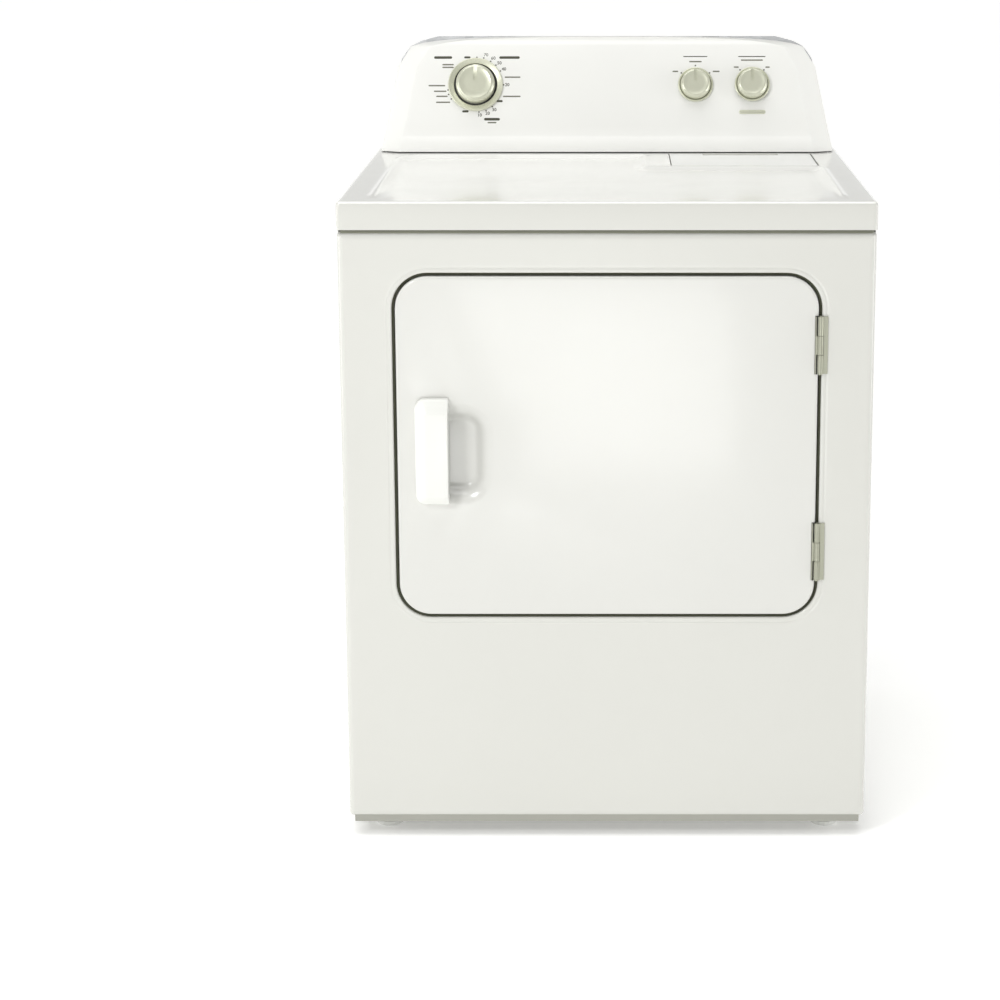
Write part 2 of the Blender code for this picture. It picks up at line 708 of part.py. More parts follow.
def door_handle(axis):
    """A blocky pull: chamfered on its left, top and bottom, open behind its right side."""
    back = FRONT_Y - DOOR_PROUD - GAP
    front = HANDLE_FRONT
    base = [(HANDLE_LEFT, HANDLE_LOW), (HANDLE_RIGHT, HANDLE_LOW), (HANDLE_RIGHT, HANDLE_HIGH),
            (HANDLE_LEFT, HANDLE_HIGH)]
    top = [(HANDLE_LEFT + 0.014, HANDLE_LOW + 0.013), (HANDLE_RIGHT, HANDLE_LOW + 0.013),
           (HANDLE_RIGHT, HANDLE_HIGH - 0.019), (HANDLE_LEFT + 0.014, HANDLE_HIGH - 0.019)]
    middle = (back + front) / 2 + 0.003
    rings = [[(x, y, z) for x, z in level]
             for y, level in ((back, base), (middle, base), (front, top))]
    handle = loft("door_handle", rings, HANDLE_WHITE)
    handle.parent = axis
    handle.matrix_parent_inverse = axis.matrix_world.inverted()
    edge = handle.modifiers.new("edge", "BEVEL")
    edge.width = 0.003
    edge.segments = 2
    cut(handle, box("finger_gap", (-0.2465, front + 0.0075, 0.507),
                    (HANDLE_RIGHT + 0.01, back + 0.01, RECESS_HIGH - 0.003)))


def hinges(axis):
    """Two barrel hinges: the cabinet leaf has the outer knuckles and the door leaf the middle one."""
    for name, (bottom, top) in HINGES.items():
        third = (top - bottom) / 3
        leaf_y = FRONT_Y - GAP
        leaf = box(f"{name}_hinge_cabinet_leaf", (HINGE_X + 0.0048, leaf_y - 0.0014, bottom),
                   (HINGE_X + 0.0105, leaf_y, top), HINGE_STEEL)
        for i, low in enumerate((bottom, top - third + 0.0002)):
            knuckle = cylinder(f"{name}_knuckle_{i}", HINGE_BARREL, (HINGE_X, HINGE_Y, low),
                               (HINGE_X, HINGE_Y, low + third - 0.0002), segments=24)
            add(leaf, knuckle)
            add(leaf, box(f"{name}_web_{i}", (HINGE_X + 0.003, leaf_y - 0.0014, low),
                          (HINGE_X + 0.006, leaf_y, low + third - 0.0002)))
        bore = cylinder(f"{name}_bore", HINGE_PIN + 0.0004, (HINGE_X, HINGE_Y, bottom - 0.01),
                        (HINGE_X, HINGE_Y, top + 0.01), segments=16)
        cut(leaf, bore)
        door_leaf = box(f"{name}_hinge_door_leaf", (HINGE_X - 0.0070, HINGE_Y - 0.0007, bottom),
                        (HINGE_X - 0.0056, FRONT_Y + 0.017, top), HINGE_STEEL, axis)
        low, high = bottom + third + 0.0003, top - third - 0.0003
        add(door_leaf, box(f"{name}_arm", (HINGE_X - 0.0065, HINGE_Y - 0.0007, low),
                           (HINGE_X - 0.003, HINGE_Y + 0.0007, high)))
        add(door_leaf, cylinder(f"{name}_door_knuckle", HINGE_BARREL, (HINGE_X, HINGE_Y, low),
                                (HINGE_X, HINGE_Y, high), segments=24))
        cut(door_leaf, bore)
        cylinder(f"{name}_hinge_pin", HINGE_PIN, (HINGE_X, HINGE_Y, bottom - 0.0012),
                 (HINGE_X, HINGE_Y, top + 0.0012), HINGE_STEEL, segments=16)


def door_latch_and_switch(axis):
    floor = FRONT_Y + LEDGE_DEPTH + SHEET + GAP
    catch = box("door_catch", (-0.2640, floor, 0.550), (-0.2260, floor + 0.016, 0.590), GREY)
    cut(catch, box("catch_slot", (-0.2545, floor - 0.01, 0.5575), (-0.2355, floor + 0.013, 0.5825)))
    switch = box("door_switch", (0.238, floor, 0.700), (0.262, floor + 0.017, 0.740), GREY)
    cut(switch, cylinder("button_bore", 0.0052, (0.25, floor - 0.01, 0.72),
                         (0.25, floor + 0.014, 0.72), segments=20))
    cylinder("door_switch_button", 0.0046, (0.25, floor + 0.012, 0.72),
             (0.25, FRONT_Y + LEDGE_DEPTH - 0.0003, 0.72), BLACK, axis, segments=20)


# ---- Drum and drive ----


def drum(axis):
    wall = DRUM_RADIUS - SHEET
    length = DRUM_REAR - DRUM_FRONT
    bead = 0.004
    outer = [(DRUM_RADIUS, 0), (DRUM_RADIUS, -length)]
    inner = [(wall, -length), (wall, -length * 0.84), (wall - bead, -length * 0.83),
             (wall - bead, -length * 0.81), (wall, -length * 0.80), (wall, 0)]
    turned("drum_cylinder", outer + inner, (0, DRUM_FRONT, DRUM_Z), (pi / 2, 0, 0), DRUM_ENAMEL,
           axis, 48)
    for i in range(3):
        angle = 2 * pi * i / 3 + pi / 6
        baffle(f"drum_baffle_{i + 1}", angle, axis)


def baffle(name, angle, axis):
    """A tapered rib that stands up from the drum's wall, its foot following the round wall."""
    foot, crest, height = 0.036, 0.012, 0.085
    wall = DRUM_RADIUS - SHEET - 0.0012
    sag = wall - sqrt(wall * wall - foot * foot)
    rings = []
    for along, drop in ((DRUM_FRONT + 0.070, 0.045), (DRUM_FRONT + 0.115, 0.0),
                        (DRUM_FRONT + 0.285, 0.0), (DRUM_FRONT + 0.330, 0.045)):
        peak = wall - height + drop
        level = [(-foot, wall - sag), (0, wall - 0.0002), (foot, wall - sag),
                 (crest, peak + 0.006), (0, peak), (-crest, peak + 0.006)]
        rings.append([
            (x * cos(angle) + r * sin(angle), along, DRUM_Z + r * cos(angle) - x * sin(angle))
            for x, r in level
        ])
    rib = loft(name, rings, DRUM_ENAMEL)
    rib.parent = axis
    rib.matrix_parent_inverse = axis.matrix_world.inverted()


def rollers():
    reach = DRUM_RADIUS + ROLLER_RADIUS + GAP
    for side, name in ((-1, "left"), (1, "right")):
        x = side * reach * sin(ROLLER_ANGLE)
        z = DRUM_Z - reach * cos(ROLLER_ANGLE)
        axis = empty(f"{name}_roller_axis", (x, 0.150, z))
        profile = [(ROLLER_RADIUS, 0.011), (ROLLER_RADIUS, -0.011), (0.0066, -0.011),
                   (0.0066, 0.011)]
        turned(f"rear_{name}_roller", profile, (x, 0.150, z), (pi / 2, 0, 0), RUBBER, axis, 32)
        shaft = cylinder(f"rear_{name}_roller_shaft", 0.0060, (x, 0.136, z),
                         (x, REAR_BULKHEAD_Y - GAP, z), ZINC, segments=16)
        add(shaft, cylinder(f"{name}_shaft_collar", 0.010, (x, 0.1625, z),
                            (x, REAR_BULKHEAD_Y - GAP, z), segments=16))


def belt():
    circles = [(0, DRUM_Z, DRUM_RADIUS + 3 * GAP), (MOTOR_X, MOTOR_Z, PULLEY_RADIUS + GAP),
               (IDLER_X, IDLER_Z, IDLER_RADIUS + GAP)]
    outer = [(x, z, radius + BELT_THICKNESS) for x, z, radius in circles]
    plate("drive_belt", [hull(outer, 48), hull(circles, 48)], *BELT_Y, RUBBER, "Y")


def motor():
    housing = cylinder("motor_housing", 0.060, (MOTOR_X, -0.016, MOTOR_Z),
                       (MOTOR_X, 0.098, MOTOR_Z), MOTOR_PAINT, segments=24)
    cut(housing, cylinder("motor_bore", 0.0090, (MOTOR_X, -0.05, MOTOR_Z),
                          (MOTOR_X, 0.15, MOTOR_Z), segments=16))
    low = BOTTOM_Z + SHEET + GAP
    bracket = box("motor_bracket", (MOTOR_X - 0.050, 0.000, low), (MOTOR_X + 0.050, 0.080, 0.080),
                  ZINC)
    cut(bracket, cylinder("bracket_seat", 0.0606, (MOTOR_X, -0.05, MOTOR_Z),
                          (MOTOR_X, 0.15, MOTOR_Z), segments=24))
    cut(bracket, box("bracket_hollow", (MOTOR_X - 0.044, 0.006, low - 0.01),
                     (MOTOR_X + 0.044, 0.074, 0.058)))
    axis = empty("motor_axis", (MOTOR_X, 0, MOTOR_Z))
    shaft = cylinder("motor_shaft", 0.0060, (MOTOR_X, -0.048, MOTOR_Z),
                     (MOTOR_X, 0.155, MOTOR_Z), HINGE_STEEL, axis, segments=16)
    add(shaft, cylinder("pulley", PULLEY_RADIUS, (MOTOR_X, -0.046, MOTOR_Z),
                        (MOTOR_X, -0.024, MOTOR_Z), segments=24))
    profile = [(0.058, 0.024), (0.060, 0.022), (0.060, -0.020), (0.050, -0.020),
               (0.050, 0.018), (0.012, 0.018), (0.012, 0.004), (0.0064, 0.004), (0.0064, 0.024)]
    wheel = turned("blower_wheel", profile, (MOTOR_X, 0.141, MOTOR_Z), (pi / 2, 0, 0), GREY,
                   axis, 24)
    for i in range(10):
        angle = 2 * pi * i / 10
        slot = box(f"blade_gap_{i}", (0.046, -0.003, -0.016), (0.064, 0.003, 0.014))
        middle = slot.location.copy()
        turn = Euler((pi / 2, 0, 0)).to_matrix() @ Euler((0, 0, angle)).to_matrix()
        slot.rotation_euler = turn.to_euler()
        slot.location = Vector((MOTOR_X, 0.141, MOTOR_Z)) + turn @ middle
        cut(wheel, slot)


def idler():
    axis = empty("idler_axis", (ARM_PIVOT[0], -0.060, ARM_PIVOT[1]))
    across, up = IDLER_X - ARM_PIVOT[0], IDLER_Z - ARM_PIVOT[1]
    reach = sqrt(across * across + up * up)
    lean = atan2(up, across)
    slot = rounded(-0.009, reach + 0.009, -0.009, 0.009, 0.0089, 5)
    outline = [(ARM_PIVOT[0] + x * cos(lean) - y * sin(lean),
                ARM_PIVOT[1] + x * sin(lean) + y * cos(lean)) for x, y in slot]
    arm = plate("idler_arm", [outline], -0.0560, -0.0530, ZINC, "Y", axis)
    cut(arm, cylinder("arm_bore", 0.0046, (ARM_PIVOT[0], -0.07, ARM_PIVOT[1]),
                      (ARM_PIVOT[0], -0.04, ARM_PIVOT[1]), segments=16))
    add(arm, cylinder("idler_stub", 0.0045, (IDLER_X, -0.0545, IDLER_Z),
                      (IDLER_X, -0.0235, IDLER_Z), segments=16))
    profile = [(IDLER_RADIUS, 0.010), (IDLER_RADIUS, -0.010), (0.0050, -0.010), (0.0050, 0.010)]
    wheel_axis = empty("idler_wheel_axis", (IDLER_X, -0.035, IDLER_Z))
    turned("idler_wheel", profile, (IDLER_X, -0.035, IDLER_Z), (pi / 2, 0, 0), GREY, wheel_axis, 32)
    low = BOTTOM_Z + SHEET + GAP
    bracket = box("idler_bracket", (ARM_PIVOT[0] - 0.012, -0.0500, low),
                  (ARM_PIVOT[0] + 0.012, -0.0465, ARM_PIVOT[1] + 0.012), ZINC)
    add(bracket, box("bracket_foot", (ARM_PIVOT[0] - 0.012, -0.0660, low),
                     (ARM_PIVOT[0] + 0.012, -0.0465, low + 0.002)))
    add(bracket, cylinder("pivot", 0.0042, (ARM_PIVOT[0], -0.0590, ARM_PIVOT[1]),
                          (ARM_PIVOT[0], -0.0480, ARM_PIVOT[1]), segments=16))


# ---- Air path ----


def blower_housing():
    front, back = BLOWER_Y
    radius = 0.074
    housing = cylinder("blower_housing", radius, (MOTOR_X, front, MOTOR_Z),
                       (MOTOR_X, back, MOTOR_Z), GREY, segments=32)
    add(housing, box("outlet", (0.030, front, 0.055), (MOTOR_X, back, 0.110)))
    cut(housing, cylinder("wheel_room", radius - 0.003, (MOTOR_X, front + 0.003, MOTOR_Z),
                          (MOTOR_X, back - 0.003, MOTOR_Z), segments=32))
    cut(housing, box("outlet_room", (0.020, front + 0.003, 0.058), (MOTOR_X, back - 0.003, 0.107)))
    cut(housing, cylinder("wheel_mouth", 0.040, (MOTOR_X, back - 0.01, MOTOR_Z),
                          (MOTOR_X, back + 0.01, MOTOR_Z), segments=32))
    cut(housing, cylinder("shaft_way", 0.010, (MOTOR_X, front - 0.01, MOTOR_Z),
                          (MOTOR_X, front + 0.01, MOTOR_Z), segments=16))


def exhaust_duct():
    """The round pipe to the wall collar, with the side port that the blower feeds."""
    front = BLOWER_Y[0] - 0.004
    inner = EXHAUST_RADIUS - 0.0008
    pipe = cylinder("exhaust_duct", EXHAUST_RADIUS, (EXHAUST_X, front, EXHAUST_Z),
                    (EXHAUST_X, COLLAR_Y, EXHAUST_Z), ZINC, segments=40)
    cut(pipe, cylinder("pipe_way", inner, (EXHAUST_X, front + 0.0015, EXHAUST_Z),
                       (EXHAUST_X, COLLAR_Y + 0.01, EXHAUST_Z), segments=40))
    cut(pipe, box("side_port", (EXHAUST_X + 0.03, BLOWER_Y[0] + 0.004, 0.092),
                  (EXHAUST_X + 0.07, BLOWER_Y[1] - 0.004, 0.106)))


def lint_duct():
    """The flat chute behind the drum that holds the lint screen and leads down to the blower."""
    left, right = LINT_LEFT + 0.006, LINT_RIGHT - 0.006
    front, back = REAR_BULKHEAD_Y + SHEET + GAP, SCREEN_Y + 0.022
    top = CABINET_TOP - 0.0112 - SHEET - GAP
    low = 0.075
    chute = box("lint_duct", (left, front, low), (right, back, top), GREY)
    cut(chute, box("chute_way", (left + 0.002, front + 0.002, low + 0.002),
                   (right - 0.002, back - 0.002, top + 0.01)))
    cut(chute, box("drum_port", (0.122, front - 0.01, 0.485), (0.268, front + 0.01, 0.597)))
    cut(chute, cylinder("blower_port", 0.040, (MOTOR_X + 0.028, front - 0.01, MOTOR_Z),
                        (MOTOR_X + 0.028, front + 0.01, MOTOR_Z), segments=24))


def lint_screen():
    """A framed mesh screen that hangs from its flat cover, with a finger notch at the cover's back."""
    axis = empty("lint_screen_axis", (0.21, SCREEN_Y, SCREEN_LOW))
    top = CABINET_TOP - 0.0006
    left, right = LINT_LEFT + 0.0008, LINT_RIGHT - 0.0008
    screen = box("lint_screen", (left, LINT_FRONT + 0.0008, top - 0.0095),
                 (right, LINT_BACK - 0.0008, top), CONSOLE_WHITE, axis)
    blade_left, blade_right = LINT_LEFT + 0.014, LINT_RIGHT - 0.014
    add(screen, box("blade", (blade_left, SCREEN_Y - 0.005, SCREEN_LOW),
                    (blade_right, SCREEN_Y + 0.005, top - 0.005)))
    middle = (blade_left + blade_right) / 2
    for low, high in ((SCREEN_LOW + 0.012, 0.670), (0.682, 0.880)):
        for inner, outer in ((blade_left + 0.012, middle - 0.004),
                             (middle + 0.004, blade_right - 0.012)):
            for face in (SCREEN_Y - 0.0065, SCREEN_Y + 0.0065):
                cut(screen, box("mesh_bay", (inner, face - 0.005, low), (outer, face + 0.005, high)))
    cut(screen, box("finger_notch", (0.151, LINT_BACK - 0.020, top - 0.004),
                    (0.270, LINT_BACK + 0.01, top + 0.01)))


def heater():
    left, right = -0.300, -0.120
    front, back = REAR_BULKHEAD_Y + SHEET + GAP, 0.262
    case = box("heater_box", (left, front, 0.220), (right, back, 0.640), ZINC)
    cut(case, box("heater_room", (left + SHEET, front + SHEET, 0.210),
                  (right - SHEET, back - SHEET, 0.640 - SHEET)))
    cut(case, box("heater_mouth", (-0.240, front - 0.01, 0.495), (-0.148, front + 0.01, 0.617)))
    turns = 7
    points = []
    for i in range(turns):
        z = 0.245 + i * 0.030
        ends = (left + 0.020, right - 0.020)
        if i % 2:
            ends = ends[::-1]
        points += [(ends[0], 0.225, z), (ends[1], 0.225, z)]
    tube("heater_element", points, 0.004, HINGE_STEEL, resolution=1)


def terminal_cover():
    cover = box("terminal_block_cover", (0.215, REAR_Y + GAP, 0.755), (0.295, REAR_Y + 0.012, 0.855),
                ZINC)
    cut(cover, box("terminal_room", (0.217, REAR_Y - 0.01, 0.757), (0.293, REAR_Y + 0.010, 0.853)))
    cut(cover, box("cord_inlet", (0.244, REAR_Y - 0.01, 0.745), (0.266, REAR_Y + 0.0095, 0.765)))


def build():
    door_axis = empty("door_axis", (HINGE_X, HINGE_Y, (DOOR_LOW + DOOR_HIGH) / 2))
    drum_axis = empty("drum_axis", (0, DRUM_FRONT, DRUM_Z))
    button_axis = empty("button_axis", (0.25, FRONT_Y + LEDGE_DEPTH, 0.72))
    base_pan()
    side_panels()
    front_panel()
    top_panel()
    rear_panel()
    feet()
    front_bulkhead()
    rear_bulkhead()
    drum_rings()
    console()
    console_works()
    knobs()
    door(door_axis)
    door_handle(door_axis)
    hinges(door_axis)
    door_latch_and_switch(button_axis)
    drum(drum_axis)
    rollers()
    belt()
    motor()
    idler()
    blower_housing()
    exhaust_duct()
    lint_duct()
    lint_screen()
    heater()
    terminal_cover()


build()
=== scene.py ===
"""The finished look of the clothes dryer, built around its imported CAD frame.

Everything is in metres in the frame's axes: +X right, +Y back, +Z up, with the floor at zero.
"""

import json
from math import atan2, cos, exp, pi, radians, sin, sqrt

import bmesh
import bpy
from mathutils import Matrix, Vector


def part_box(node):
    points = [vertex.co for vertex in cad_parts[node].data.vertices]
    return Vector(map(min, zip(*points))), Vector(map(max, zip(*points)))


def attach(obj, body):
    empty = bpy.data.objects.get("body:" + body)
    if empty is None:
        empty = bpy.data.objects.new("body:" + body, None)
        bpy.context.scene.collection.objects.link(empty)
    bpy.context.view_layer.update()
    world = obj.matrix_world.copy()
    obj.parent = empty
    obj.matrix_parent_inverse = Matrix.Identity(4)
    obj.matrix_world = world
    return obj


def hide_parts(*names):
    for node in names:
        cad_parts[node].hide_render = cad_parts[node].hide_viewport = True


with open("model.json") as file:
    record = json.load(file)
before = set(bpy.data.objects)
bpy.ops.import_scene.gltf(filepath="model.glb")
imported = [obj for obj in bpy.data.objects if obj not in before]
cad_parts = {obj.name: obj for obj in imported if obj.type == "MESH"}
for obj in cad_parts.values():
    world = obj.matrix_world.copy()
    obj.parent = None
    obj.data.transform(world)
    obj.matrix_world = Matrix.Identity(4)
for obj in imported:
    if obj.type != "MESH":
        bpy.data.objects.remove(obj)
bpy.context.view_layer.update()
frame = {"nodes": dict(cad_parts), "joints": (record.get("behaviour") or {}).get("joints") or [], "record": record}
NODES = frame["nodes"]

# ---- Places read from the frame ----

PANEL_LOW, PANEL_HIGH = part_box("front_panel")
TOP_LOW, TOP_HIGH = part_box("top_panel")
DOOR_LOW, DOOR_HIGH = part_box("door_outer_panel")
HANDLE_LOW, HANDLE_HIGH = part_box("door_handle")
CONSOLE_LOW, CONSOLE_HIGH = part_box("console_fascia")
SCREEN_LOW, SCREEN_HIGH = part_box("lint_screen")
REAR_LOW, REAR_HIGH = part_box("rear_panel")
JOINTS = {joint["name"]: joint for joint in frame["joints"]}
FACE_NORMAL = Vector(JOINTS["timer_turn"]["axis"])
LEAN = atan2(FACE_NORMAL.z, -FACE_NORMAL.y)

# The console face's own axes as columns: across, up the slope, and out.
FACE_BASIS = Matrix((Vector((1, 0, 0)), Vector((0, sin(LEAN), cos(LEAN))), FACE_NORMAL)).transposed()

DOOR_Y = DOOR_LOW.y
PANEL_Y = PANEL_LOW.y
TOP_Z = TOP_HIGH.z
DOOR_GAP = 0.0046
DOOR_CORNER = 0.0447
HOLE = (DOOR_LOW.x - DOOR_GAP, DOOR_HIGH.x + DOOR_GAP, DOOR_LOW.z - DOOR_GAP, DOOR_HIGH.z + DOOR_GAP)
HOLE_CORNER = DOOR_CORNER + DOOR_GAP


# ---- Materials ----


class Shading:
    """A Principled material with a few helpers for its nodes."""

    def __init__(self, name, roughness=0.5, metallic=0.0, **constants):
        self.material = bpy.data.materials.new(name)
        self.material.use_nodes = True
        self.tree = self.material.node_tree
        self.shader = self.tree.nodes["Principled BSDF"]
        self.shader.inputs["Roughness"].default_value = roughness
        self.shader.inputs["Metallic"].default_value = metallic
        for socket, value in constants.items():
            self.shader.inputs[socket.replace("_", " ")].default_value = value
        self.place = self.tree.nodes.new("ShaderNodeTexCoord").outputs["Object"]

    def node(self, kind, **settings):
        made = self.tree.nodes.new(kind)
        for key, value in settings.items():
            if isinstance(value, bpy.types.NodeSocket):
                self.tree.links.new(value, made.inputs[key])
            elif key in made.inputs:
                made.inputs[key].default_value = value
            else:
                setattr(made, key, value)
        return made

    def stretched(self, scale):
        return self.node("ShaderNodeMapping", Vector=self.place, Scale=scale).outputs["Vector"]

    def noise(self, scale, detail=3.0, vector=None):
        made = self.node("ShaderNodeTexNoise", Vector=vector or self.place, Scale=scale,
                         Detail=detail)
        return made.outputs["Fac"]

    def ramp(self, factor, stops):
        made = self.node("ShaderNodeValToRGB", Fac=factor)
        elements = made.color_ramp.elements
        while len(elements) < len(stops):
            elements.new(0.5)
        for element, (position, colour) in zip(elements, stops):
            element.position = position
            element.color = (*colour, 1)
        return made.outputs["Color"]

    def spread(self, factor, low, high):
        made = self.node("ShaderNodeMapRange", Value=factor)
        made.inputs["To Min"].default_value = low
        made.inputs["To Max"].default_value = high
        return made.outputs["Result"]

    def colour(self, socket):
        self.tree.links.new(socket, self.shader.inputs["Base Color"])
        return self

    def roughness(self, socket):
        self.tree.links.new(socket, self.shader.inputs["Roughness"])
        return self

    def bump(self, height, strength, distance):
        made = self.node("ShaderNodeBump", Height=height)
        made.inputs["Strength"].default_value = strength
        made.inputs["Distance"].default_value = distance
        self.tree.links.new(made.outputs["Normal"], self.shader.inputs["Normal"])
        return self


def shade(colour, factor):
    return tuple(channel * factor for channel in colour)


def enamel(name, colour, roughness=0.22, peel=0.05):
    """Baked enamel: a faint orange peel, a slow drift of colour and a hard clear gloss."""
    made = Shading(name, roughness, Coat_Weight=0.35, Coat_Roughness=0.08)
    drift = made.noise(2.5, 2)
    made.colour(made.ramp(drift, ((0.3, shade(colour, 0.985)), (0.7, colour))))
    made.roughness(made.spread(made.noise(9, 4), roughness - 0.03, roughness + 0.05))
    return made.bump(made.noise(420, 2), peel, 0.0004).material


def moulded(name, colour, roughness=0.35, grain=0.08, scale=900):
    """Injection-moulded plastic with a fine satin grain."""
    made = Shading(name, roughness)
    made.colour(made.ramp(made.noise(4, 2), ((0.3, shade(colour, 0.97)), (0.7, colour))))
    made.roughness(made.spread(made.noise(40, 3), roughness - 0.04, roughness + 0.06))
    return made.bump(made.noise(scale, 2), grain, 0.0002).material


def galvanised(name):
    """Zinc-coated sheet with a soft spangle."""
    made = Shading(name, 0.42, 1.0)
    cells = made.node("ShaderNodeTexVoronoi", Vector=made.place, Scale=70.0).outputs["Distance"]
    tone = made.node("ShaderNodeTexVoronoi", Vector=made.place, Scale=70.0).outputs["Color"]
    grey = made.node("ShaderNodeRGBToBW", Color=tone).outputs["Val"]
    made.colour(made.ramp(grey, ((0.2, (0.54, 0.55, 0.56)), (0.8, (0.66, 0.67, 0.68)))))
    made.roughness(made.spread(grey, 0.34, 0.52))
    return made.bump(cells, 0.05, 0.0003).material


def brushed(name, colour, roughness=0.32, along=(1, 1, 60)):
    """Bare metal with fine lines drawn along one direction."""
    made = Shading(name, roughness, 1.0)
    lines = made.noise(60, 3, made.stretched(along))
    made.colour(made.ramp(lines, ((0.25, shade(colour, 0.82)), (0.75, colour))))
    made.roughness(made.spread(lines, roughness - 0.06, roughness + 0.12))
    return made.bump(lines, 0.12, 0.0002).material


def champagne(name):
    """Metallic paint: tiny flakes under a soft satin lacquer."""
    made = Shading(name, 0.30, 0.45, Coat_Weight=0.2, Coat_Roughness=0.25)
    flake = made.node("ShaderNodeTexVoronoi", Vector=made.place, Scale=2600.0).outputs["Distance"]
    made.colour(made.ramp(flake, ((0.1, (0.62, 0.63, 0.50)), (0.8, (0.74, 0.75, 0.61)))))
    made.roughness(made.spread(flake, 0.24, 0.38))
    return made.bump(flake, 0.05, 0.00015).material


def felted(name):
    made = Shading(name, 0.95, Sheen_Weight=0.4, Sheen_Roughness=0.6)
    fibres = made.noise(700, 6)
    made.colour(made.ramp(fibres, ((0.3, (0.26, 0.25, 0.22)), (0.7, (0.46, 0.44, 0.39)))))
    return made.bump(fibres, 0.9, 0.0012).material


def rubber(name):
    made = Shading(name, 0.75)
    dust = made.noise(60, 5)
    made.colour(made.ramp(dust, ((0.35, (0.016, 0.016, 0.016)), (0.8, (0.045, 0.044, 0.042)))))
    made.roughness(made.spread(dust, 0.62, 0.85))
    return made.bump(made.noise(500, 3), 0.2, 0.0003).material


def mesh_cloth(name):
    """The lint screen's fine woven mesh."""
    made = Shading(name, 0.6)
    across = made.node("ShaderNodeTexWave", Vector=made.place, Scale=220.0, bands_direction="X")
    along = made.node("ShaderNodeTexWave", Vector=made.place, Scale=220.0, bands_direction="Z")
    weave = made.node("ShaderNodeMath", operation="MULTIPLY")
    made.tree.links.new(across.outputs["Fac"], weave.inputs[0])
    made.tree.links.new(along.outputs["Fac"], weave.inputs[1])
    fac = weave.outputs["Value"]
    made.colour(made.ramp(fac, ((0.1, (0.16, 0.16, 0.15)), (0.6, (0.55, 0.55, 0.52)))))
    return made.bump(fac, 0.8, 0.0006).material


WHITE = (0.645, 0.645, 0.606)
ENAMEL = enamel("cabinet_enamel", WHITE)
DOOR_ENAMEL = enamel("door_enamel", (0.668, 0.668, 0.636))
# A brighter copy of the cabinet enamel, painted light: the top's upward faces take it, while its rolled edges and
# skirt keep the darker enamel.
LIT_TOP_ENAMEL = enamel("top_enamel_painted_light", (0.86, 0.86, 0.825), 0.16)
DRUM_ENAMEL = enamel("drum_enamel", (0.70, 0.72, 0.72), 0.3, 0.1)
CONSOLE_WHITE = moulded("console_plastic", (0.87, 0.87, 0.84), 0.30, 0.012)
HANDLE_WHITE = moulded("handle_plastic", (0.80, 0.805, 0.77), 0.30, 0.008)
GREY = moulded("grey_plastic", (0.23, 0.24, 0.24), 0.5, 0.2, 500)
BLACK = moulded("black_plastic", (0.018, 0.018, 0.017), 0.45, 0.2, 500)
INK = moulded("printed_ink", (0.06, 0.06, 0.04), 0.55, 0.05)
SOFT_INK = moulded("printed_grey", (0.17, 0.17, 0.13), 0.55, 0.05)
CHAMPAGNE = champagne("knob_champagne")
HINGE_STEEL = brushed("hinge_steel", (0.38, 0.385, 0.31))
SHAFT_STEEL = brushed("shaft_steel", (0.56, 0.56, 0.55), 0.28, (60, 1, 60))
SCREW_STEEL = brushed("screw_steel", (0.60, 0.60, 0.58), 0.3, (8, 8, 8))
HEATER_WIRE = brushed("heater_wire", (0.30, 0.24, 0.19), 0.5, (4, 4, 4))
ZINC = galvanised("galvanised_sheet")
MOTOR_PAINT = enamel("motor_paint", (0.05, 0.055, 0.06), 0.45, 0.2)
# The base pan is a real part, but its dark olive colour is painted shade: it stands in for the shadow under the
# front panel's bottom edge.
BASE_PAN_SHADE_PAINT = enamel("base_steel", (0.34, 0.34, 0.30), 0.5, 0.15)
RUBBER = rubber("black_rubber")
# Olive paint for the strip under the top's front edge: painted shade.
TOP_GAP_SHADE_PAINT = moulded("top_gap_shade", (0.20, 0.205, 0.155), 0.7, 0.2, 500)
# Olive paint for the bulb strip in the door gap: painted shade.
GAP_SHADE_OLIVE = moulded("gap_shade_olive_paint", (0.060, 0.064, 0.036), 0.6, 0.2, 500)
FELT = felted("grey_felt")
LINT_MESH = mesh_cloth("lint_mesh")
LINT_WHITE = moulded("lint_frame_plastic", (0.86, 0.865, 0.84), 0.3)

FINISHES = {
    "enamel_cabinet": ENAMEL,
    "enamel_door": DOOR_ENAMEL,
    "console_plastic": CONSOLE_WHITE,
    "handle_plastic": HANDLE_WHITE,
    "knob_metallic": CHAMPAGNE,
    "hinge_steel": HINGE_STEEL,
    "galvanised": ZINC,
    "drum_enamel": DRUM_ENAMEL,
    "motor_steel": MOTOR_PAINT,
    "shaft_steel": SHAFT_STEEL,
    "grey_plastic": GREY,
    "black_plastic": BLACK,
    "black_rubber": RUBBER,
    "foot_plastic": LINT_WHITE,
    "base_steel": BASE_PAN_SHADE_PAINT,
    "felt": FELT,
    "lint_frame": LINT_WHITE,
    "heater_wire": HEATER_WIRE,
}


def finish_nodes():
    """Each CAD node takes its slot's finish, and its edges a small machined or moulded rounding."""
    fine = {"hinge_steel", "shaft_steel", "black_plastic"}
    for part in frame["record"]["subparts"]:
        node = NODES[part["node"]]
        node.data.materials.clear()
        node.data.materials.append(FINISHES[part["material_slot"]])
        weld = node.modifiers.new("weld", "WELD")
        weld.merge_threshold = 0.00001
        edge = node.modifiers.new("edge", "BEVEL")
        edge.width = 0.0003 if part["material_slot"] in fine else 0.0005
        edge.segments = 2
        edge.limit_method = "ANGLE"
        edge.angle_limit = radians(35)
        edge.harden_normals = True
        edge.use_clamp_overlap = True


# ---- Building pieces ----


def added(name, data):
    """A new object, linked into the scene."""
    obj = bpy.data.objects.new(name, data)
    bpy.context.scene.collection.objects.link(obj)
    return obj


def mesh_from(bm, name):
    mesh = bpy.data.meshes.new(name)
    bm.to_mesh(mesh)
    bm.free()
    return mesh


